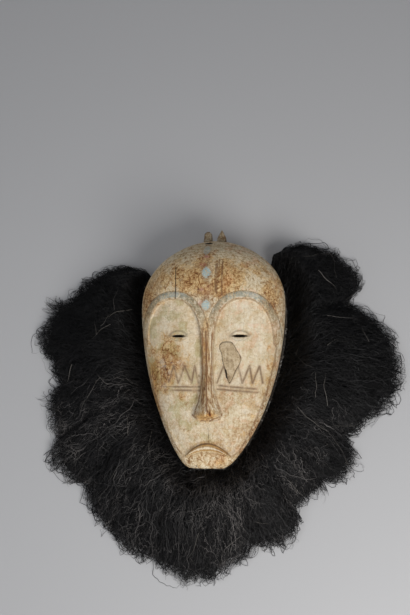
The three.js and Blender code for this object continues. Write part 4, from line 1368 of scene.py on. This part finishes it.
def wood_material():
    n = Nodes("painted_wood")
    ramp, lean = n.ramp, n.lean
    face = n.field("face", "Vector")
    fx, fy, fz = (n.make("SeparateXYZ", {0: face}, axis) for axis in range(3))
    panel, zone, arch, lips, rust, ochre, grey = (
        n.field(name) for name in ("panel", "zone", "arch", "lips", "rust", "ochre", "grey"))

    broad = n.noise(face, 0.016, 3, 0.6)
    patchy = n.noise(face, 0.045, 5, 0.62)
    mottle = n.noise(face, 0.10, 4, 0.62, 0.8)
    speckle = n.noise(face, 0.24, 5, 0.68)
    swirl = n.noise(face, 0.17, 3, 0.6, 2.2)
    fine = n.noise(face, 0.5, 3, 0.6)
    streak = n.noise(n.stretch(face, (1, 0.12, 1)), 0.26, 5, 0.62)
    brushed = n.noise(n.stretch(face, (0.14, 1, 1)), 0.32, 4, 0.6)

    # How thickly the chalky kaolin lies: thick in the panels, rubbed down to the wood above
    inside = ramp(panel, 0.5, -3.0)
    rubbed = (1.0 - inside) * ramp(fy, 318, 345)
    rusty = (ramp(rust + lean(patchy, 3.0) + lean(streak, 1.8) + lean(mottle, 2.2), 0.16, 1.0)
             * ramp(rust, 0, 0.3))
    above_tip = ramp(fy, 88, 96)
    nose = ramp(abs(fx), 17, 10) * ramp(fy, 296, 232, 0.1, 1) * above_tip
    tip = ramp(fy, 120, 108) * above_tip
    lugs = ramp(zone, -0.3, -0.8)
    low = ramp(fy, 190, 140)
    loose = (1.0 - 0.5 * inside) * ramp(fy, 280, 330, 0.72, 1) + 0.22 * low
    loose = n.math("MAXIMUM", loose, rusty)
    nets = (0.26 * ramp(n.crackle(face, 0.085, 9.0), 0.16, 0.0)
            + 0.17 * ramp(n.crackle(face, 0.17, 5.0), 0.15, 0.0)) * ramp(patchy, 0.40, 0.60, 0.35, 1.0)
    grit = lean(swirl, 1.3) + lean(speckle, 0.9) + lean(mottle, 1.7) + lean(streak, 1.2) - nets
    grit = grit * (1.0 - 0.7 * nose) + lean(streak, 3.0) * nose
    # Clean patches thicken the pale kaolin; one of them is a painted highlight down the nose's right
    # flank
    thick = (grit * loose + lean(patchy, 0.9) + lean(broad, 0.4)
             + lean(brushed, 1.8) * ramp(fy, 385, 420) + 0.05 * inside + 0.75 + 0.14 * rubbed
             - 0.20 * nose + ramp(fx, -20, 30, 0, -0.09) * low
             + 0.10 * tip - 0.22 * lugs + 0.13 * n.field("clean_and_highlight") - 0.24 * rusty)
    n.colour = n.steps(thick, (
        (0.02, (0.11, 0.05, 0.022)), (0.24, (0.27, 0.135, 0.058)), (0.42, (0.43, 0.27, 0.135)),
        (0.60, (0.60, 0.46, 0.285)), (0.78, (0.74, 0.62, 0.435)), (1.0, (0.85, 0.76, 0.60))))
    n.soak(0.8 * rusty, (1.0, 0.82, 0.56))
    n.soak(0.8 * n.math("MAXIMUM", rubbed, ramp(fy, 36, 26)), (1.0, 0.955, 0.86))
    n.soak(0.9 * lugs, (0.36, 0.365, 0.37))

    # Patches of greenish, pinkish and tan kaolin, with soft and sharp edges
    cast = n.noise(face, 0.03, 5, 0.62)
    other = n.noise(face, 0.042, 5, 0.64, 0.6)
    n.soak(0.95 * ramp(cast, 0.48, 0.58) * ramp(fx, 30, -20, 0.25, 1) * inside, (0.77, 0.79, 0.66))
    n.soak(0.8 * ramp(other, 0.48, 0.40) * ramp(fx, -30, 40, 0.3, 1), (1.0, 0.85, 0.79))
    n.soak(0.75 * ramp(other + lean(mottle, 0.4), 0.54, 0.62) * inside, (0.90, 0.80, 0.66))
    n.lay(0.35 * ramp(cast, 0.45, 0.37) * inside, (0.84, 0.77, 0.63))

    # Fine crackle and rubbed-in dirt
    net = ramp(n.crackle(face, 0.11, 6.0), 0.06, 0.005)
    n.lay(net * ramp(mottle, 0.46, 0.60, 0.0, 0.5), (0.28, 0.18, 0.095))
    dirt = ramp(swirl + lean(speckle, 1.2) + lean(patchy, 1.0), 0.60, 0.78)
    n.lay(dirt * ramp(fx, -40, 40, 0.42, 0.22) * inside, (0.36, 0.25, 0.14))

    # Stains soak in unevenly
    soaked = ochre + lean(speckle, 1.8) + lean(swirl, 1.8) + lean(mottle, 1.2)
    n.soak(ramp(soaked, 0.12, 1.1, 0, 0.9) * ramp(ochre, 0, 0.25), (0.86, 0.60, 0.27))
    soaked = grey + lean(speckle, 1.6) + lean(patchy, 1.4) + lean(streak, 1.0)
    n.soak(ramp(soaked, 0.15, 0.9, 0, 0.7) * ramp(grey, 0, 0.25), (0.74, 0.73, 0.65))

    # Brown stripes down the nose and the forehead, and painted shadow under the nose's wings
    ink_and_shadow = ramp(n.field("ink_and_shadow") + lean(speckle, 3.5), 1.6, 0.0)
    n.lay(ink_and_shadow * ramp(streak, 0.36, 0.56, 0.35, 0.85), (0.20, 0.095, 0.04))

    # Grey paint on the brow bands, bluest at their tops, worn through in places
    ragged = panel + lean(speckle, 2.4)
    band = ramp(ragged, 1.6, 3.4) * ramp(ragged, 14.0, 12.4) * ramp(fy, 256, 322, 0.12, 1) * arch
    worn = ramp(swirl + lean(speckle, 1.2) + lean(streak, 0.8), 0.46, 0.62, 0.85, 0.35)
    blue = n.mix(ramp(fy + lean(patchy, 90), 312, 336), (0.335, 0.29, 0.195), (0.42, 0.455, 0.41))
    blue = n.mix(ramp(mottle, 0.38, 0.58, 1, 0), blue, (0.72, 0.72, 0.66), "MULTIPLY")
    n.lay(band * worn, blue)
    n.lay(0.6 * ramp(abs(ragged - 14.6), 1.5, 0.2) * arch, (0.15, 0.105, 0.06))

    # The diamonds, with a dark ring, chipped, and none of them past the crown
    drift = lean(fine, 10)
    chipped = ramp(fine + speckle, 0.98, 1.14, 1, 0.15) * ramp(fz, -125, -105)
    for middle, height, wide, tall, tint, amount in DIAMONDS:
        reach = (abs(fx - middle + drift) / wide) ** 1.5 + (abs(fy - height - drift) / tall) ** 1.5
        n.lay(0.36 * amount * ramp(reach, 2.2, 1.2) * ramp(reach, 0.85, 1.1), (0.19, 0.085, 0.042))
        n.lay(amount * ramp(reach, 1.15, 0.65) * chipped, tint)

    # Dirt in the marks; a brown line round each panel's step, partly stain and partly painted shade;
    # the lips' tints with a painted highlight; painted shade in the lid creases; the cracks, the joint
    # and the slot
    uneven = lean(speckle, 2.2)
    marks = n.field("marks") + uneven
    broken = ramp(patchy + lean(mottle, 0.6), 0.38, 0.56, 0.5, 1.0)
    n.lay(ramp(marks, 7.0, 1.5, 0, 0.45) * broken, (0.46, 0.33, 0.21))
    n.lay(ramp(marks, 3.0, 0.4, 0, 0.85) * broken, (0.215, 0.135, 0.075))
    # Brown line along the step round each panel: partly stain, partly painted shade in the step,
    # stronger on the right
    n.lay(ramp(abs(panel) + uneven, 2.8, 0.2) * ramp(fx, -20, 60, 0.34, 0.6), (0.25, 0.145, 0.07))
    lip = n.field("lip") + lean(fine, 0.12)
    # The lips' tints, among them the cream band painted as a highlight on the upper lip
    for middle, reach, amount, tint in LIP_TINTS:
        n.lay(amount * ramp(abs(lip - middle), reach, reach * 0.3) * lips, tint)
    # Painted shade in the lids' creases, below them and round the slits
    n.lay(ramp(n.field("lid"), 2.8, 0.2, 0, 0.52), (0.25, 0.18, 0.11))
    n.lay(ramp(n.field("crack"), 0.9, -0.2, 0, 0.96), (0.02, 0.014, 0.01))
    joint = ramp(abs(n.field("plug")) + lean(speckle, 3.0), 1.6, 0.2)
    n.lay(joint * ramp(n.noise(face, 0.33, 1, 0.5), 0.44, 0.54, 0.15, 0.9), (0.075, 0.05, 0.03))
    n.lay(ramp(n.field("slot"), 1.1, 0.7, 0, 0.95), (0.015, 0.012, 0.01))

    # Small dark flecks and pits
    pits = n.noise(face, 0.6, 2, 0.5)
    n.lay(ramp(pits, 0.66, 0.76, 0, 0.5), (0.20, 0.12, 0.065))

    # Bare hollow and rim
    bare = n.mix(ramp(streak, 0.35, 0.66), (0.10, 0.058, 0.032), (0.22, 0.14, 0.08))
    n.lay(ramp(zone, 0.2, 0.7), bare)

    normal = n.bump(0.6 * streak + 0.4 * fine + 0.35 * thick, 0.0012)
    normal = n.bump(ramp(pits, 0.62, 0.76, 1, 0), 0.0006, Normal=normal)
    return n.finished(ramp(speckle, 0.3, 0.7, 0.6, 0.85), 0.32, Normal=normal)


def filler_material():
    n = Nodes("repair_filler")
    face = n.field("face", "Vector")
    fine = n.noise(face, 0.4, 5, 0.65)
    grain = n.noise(n.stretch(face, (1, 0.2, 1)), 0.3, 4, 0.6)
    tone = 0.9 * n.noise(face, 0.11, 5, 0.66) + 0.4 * grain + 0.6 * fine
    n.colour = n.steps(n.ramp(tone, 0.7, 1.2), (
        (0.0, (0.27, 0.185, 0.105)), (0.35, (0.46, 0.345, 0.205)), (0.7, (0.57, 0.445, 0.285)),
        (1.0, (0.66, 0.55, 0.38))))
    return n.finished(n.ramp(fine, 0.3, 0.7, 0.75, 0.92), Normal=n.bump(fine + grain, 0.0008))


def raffia_material():
    n = Nodes("raffia")
    place = n.make("TexCoord", {}, "Object")
    tone = n.field("tone")
    patches = n.noise(place, 14, 3, 0.6)
    # The tone holds each fibre's random shade and the painted light and shade laid on it when the
    # bundles are made
    n.colour = n.mix(n.ramp(tone, 0, 0.7, kind="LINEAR"), (0.0026, 0.0026, 0.003),
                     (0.019, 0.018, 0.019))
    n.lay(n.ramp(tone, 0.46, 0.80) * n.ramp(patches, 0.36, 0.60, 0.2, 1), (0.134, 0.124, 0.119))
    n.lay(n.ramp(tone, STRAW_TONE, 0.98), (0.105, 0.096, 0.086))
    crimp = n.bump(n.noise(place, 420, 2, 0.5), 0.0006, 0.5)
    return n.finished(n.ramp(patches, 0.3, 0.7, 0.5, 0.72), 0.24, Normal=crimp)


def twine_material():
    n = Nodes("twine")
    place = n.make("TexCoord", {}, "Object")
    fine = n.noise(place, 900, 3, 0.6)
    n.colour = n.mix(n.ramp(n.noise(place, 40, 3, 0.6), 0.35, 0.65), (0.055, 0.048, 0.042),
                     (0.17, 0.155, 0.14))
    n.lay(n.ramp(n.noise(place, 130, 3, 0.6), 0.56, 0.64), (0.42, 0.42, 0.42))
    n.lay(n.ramp(fine, 0.55, 0.75, 0, 0.5), (0.09, 0.075, 0.06))
    return n.finished(n.ramp(fine, 0.3, 0.7, 0.75, 0.95), Normal=n.bump(fine, 0.0005))


def floor_material():
    n = Nodes("floor")
    n.colour = (0.53, 0.53, 0.54)
    return n.finished(0.9, 0.1)


# Camera, light and floor

CAMERA_PLACE = (325.2, -319.7, 2256.1)
CAMERA_AIM = (-0.14854, 0.27861, -0.94885)
LENS = 67.8
SENSOR_WIDTH = 36.0
FLOOR_HALF = 6.0


def make_camera():
    data = bpy.data.cameras.new("camera")
    data.lens = LENS
    data.sensor_width = SENSOR_WIDTH
    data.clip_end = 50
    camera = link("camera", data)
    forward = Vector(CAMERA_AIM).normalized()
    right = forward.cross(Vector((0, COS, SIN))).normalized()
    turn = Matrix((right, right.cross(forward), -forward)).transposed()
    camera.matrix_world = Matrix.Translation(Vector(in_world(CAMERA_PLACE))) @ turn.to_4x4()
    bpy.context.scene.camera = camera
    bpy.context.scene.view_settings.view_transform = "Standard"


def area_light(name, place, aim, size, power, colour=(1, 1, 1)):
    data = bpy.data.lights.new(name, "AREA")
    data.shape = "RECTANGLE"
    data.size, data.size_y = size
    data.energy = power
    data.color = colour
    light = link(name, data)
    light.location = place
    light.rotation_euler = (Vector(aim) - Vector(place)).to_track_quat("-Z", "Y").to_euler()


def make_studio():
    area_light("key", (0.95, -1.15, 1.35), (0, -0.05, 0.08), (1.1, 1.1), 31, (1, 0.985, 0.96))
    area_light("fill", (-1.3, -0.6, 1.5), (0, 0, 0.05), (1.3, 1.3), 7, (0.96, 0.98, 1))
    area_light("top", (-0.2, 1.1, 2.2), (0, 0, 0), (1.6, 1.2), 5)
    sky = bpy.data.worlds.new("studio")
    sky.use_nodes = True
    background = sky.node_tree.nodes["Background"]
    background.inputs["Color"].default_value = (0.9, 0.93, 1.0, 1)
    background.inputs["Strength"].default_value = 0.16
    bpy.context.scene.world = sky
    corners = [(x * FLOOR_HALF, y * FLOOR_HALF, 0) for x, y in ((-1, -1), (1, -1), (1, 1), (-1, 1))]
    floor = mesh_object("studio_floor", corners, [[0, 1, 2, 3]])
    floor.data.materials.append(floor_material())
    floor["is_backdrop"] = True


make_camera()
make_studio()

wood = make_mask()
wood.data.materials.clear()
wood.data.materials.append(wood_material())
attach(wood, "root")
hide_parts("carved_mask")

filler = make_plug()
filler.data.materials.append(filler_material())
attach(filler, "root")
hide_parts("cheek_repair_plug")

twine = make_twine()
twine.data.materials.append(twine_material())
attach(twine, "root")
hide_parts("tying_twine")

raffia = raffia_material()
foot_line = wall_line_at(BUNDLE_FOOT)
for number, row in enumerate(BUNDLES):
    fibres = make_bundle(row, FIRST_SEED + number, foot_line)
    fibres.data.materials.append(raffia)
    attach(fibres, "root")
    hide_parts(row[0])

boxes = {"cad": cad_bounds, "visual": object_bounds()}
{key: [[float(v) for v in corner] for corner in box] for key, box in boxes.items()}
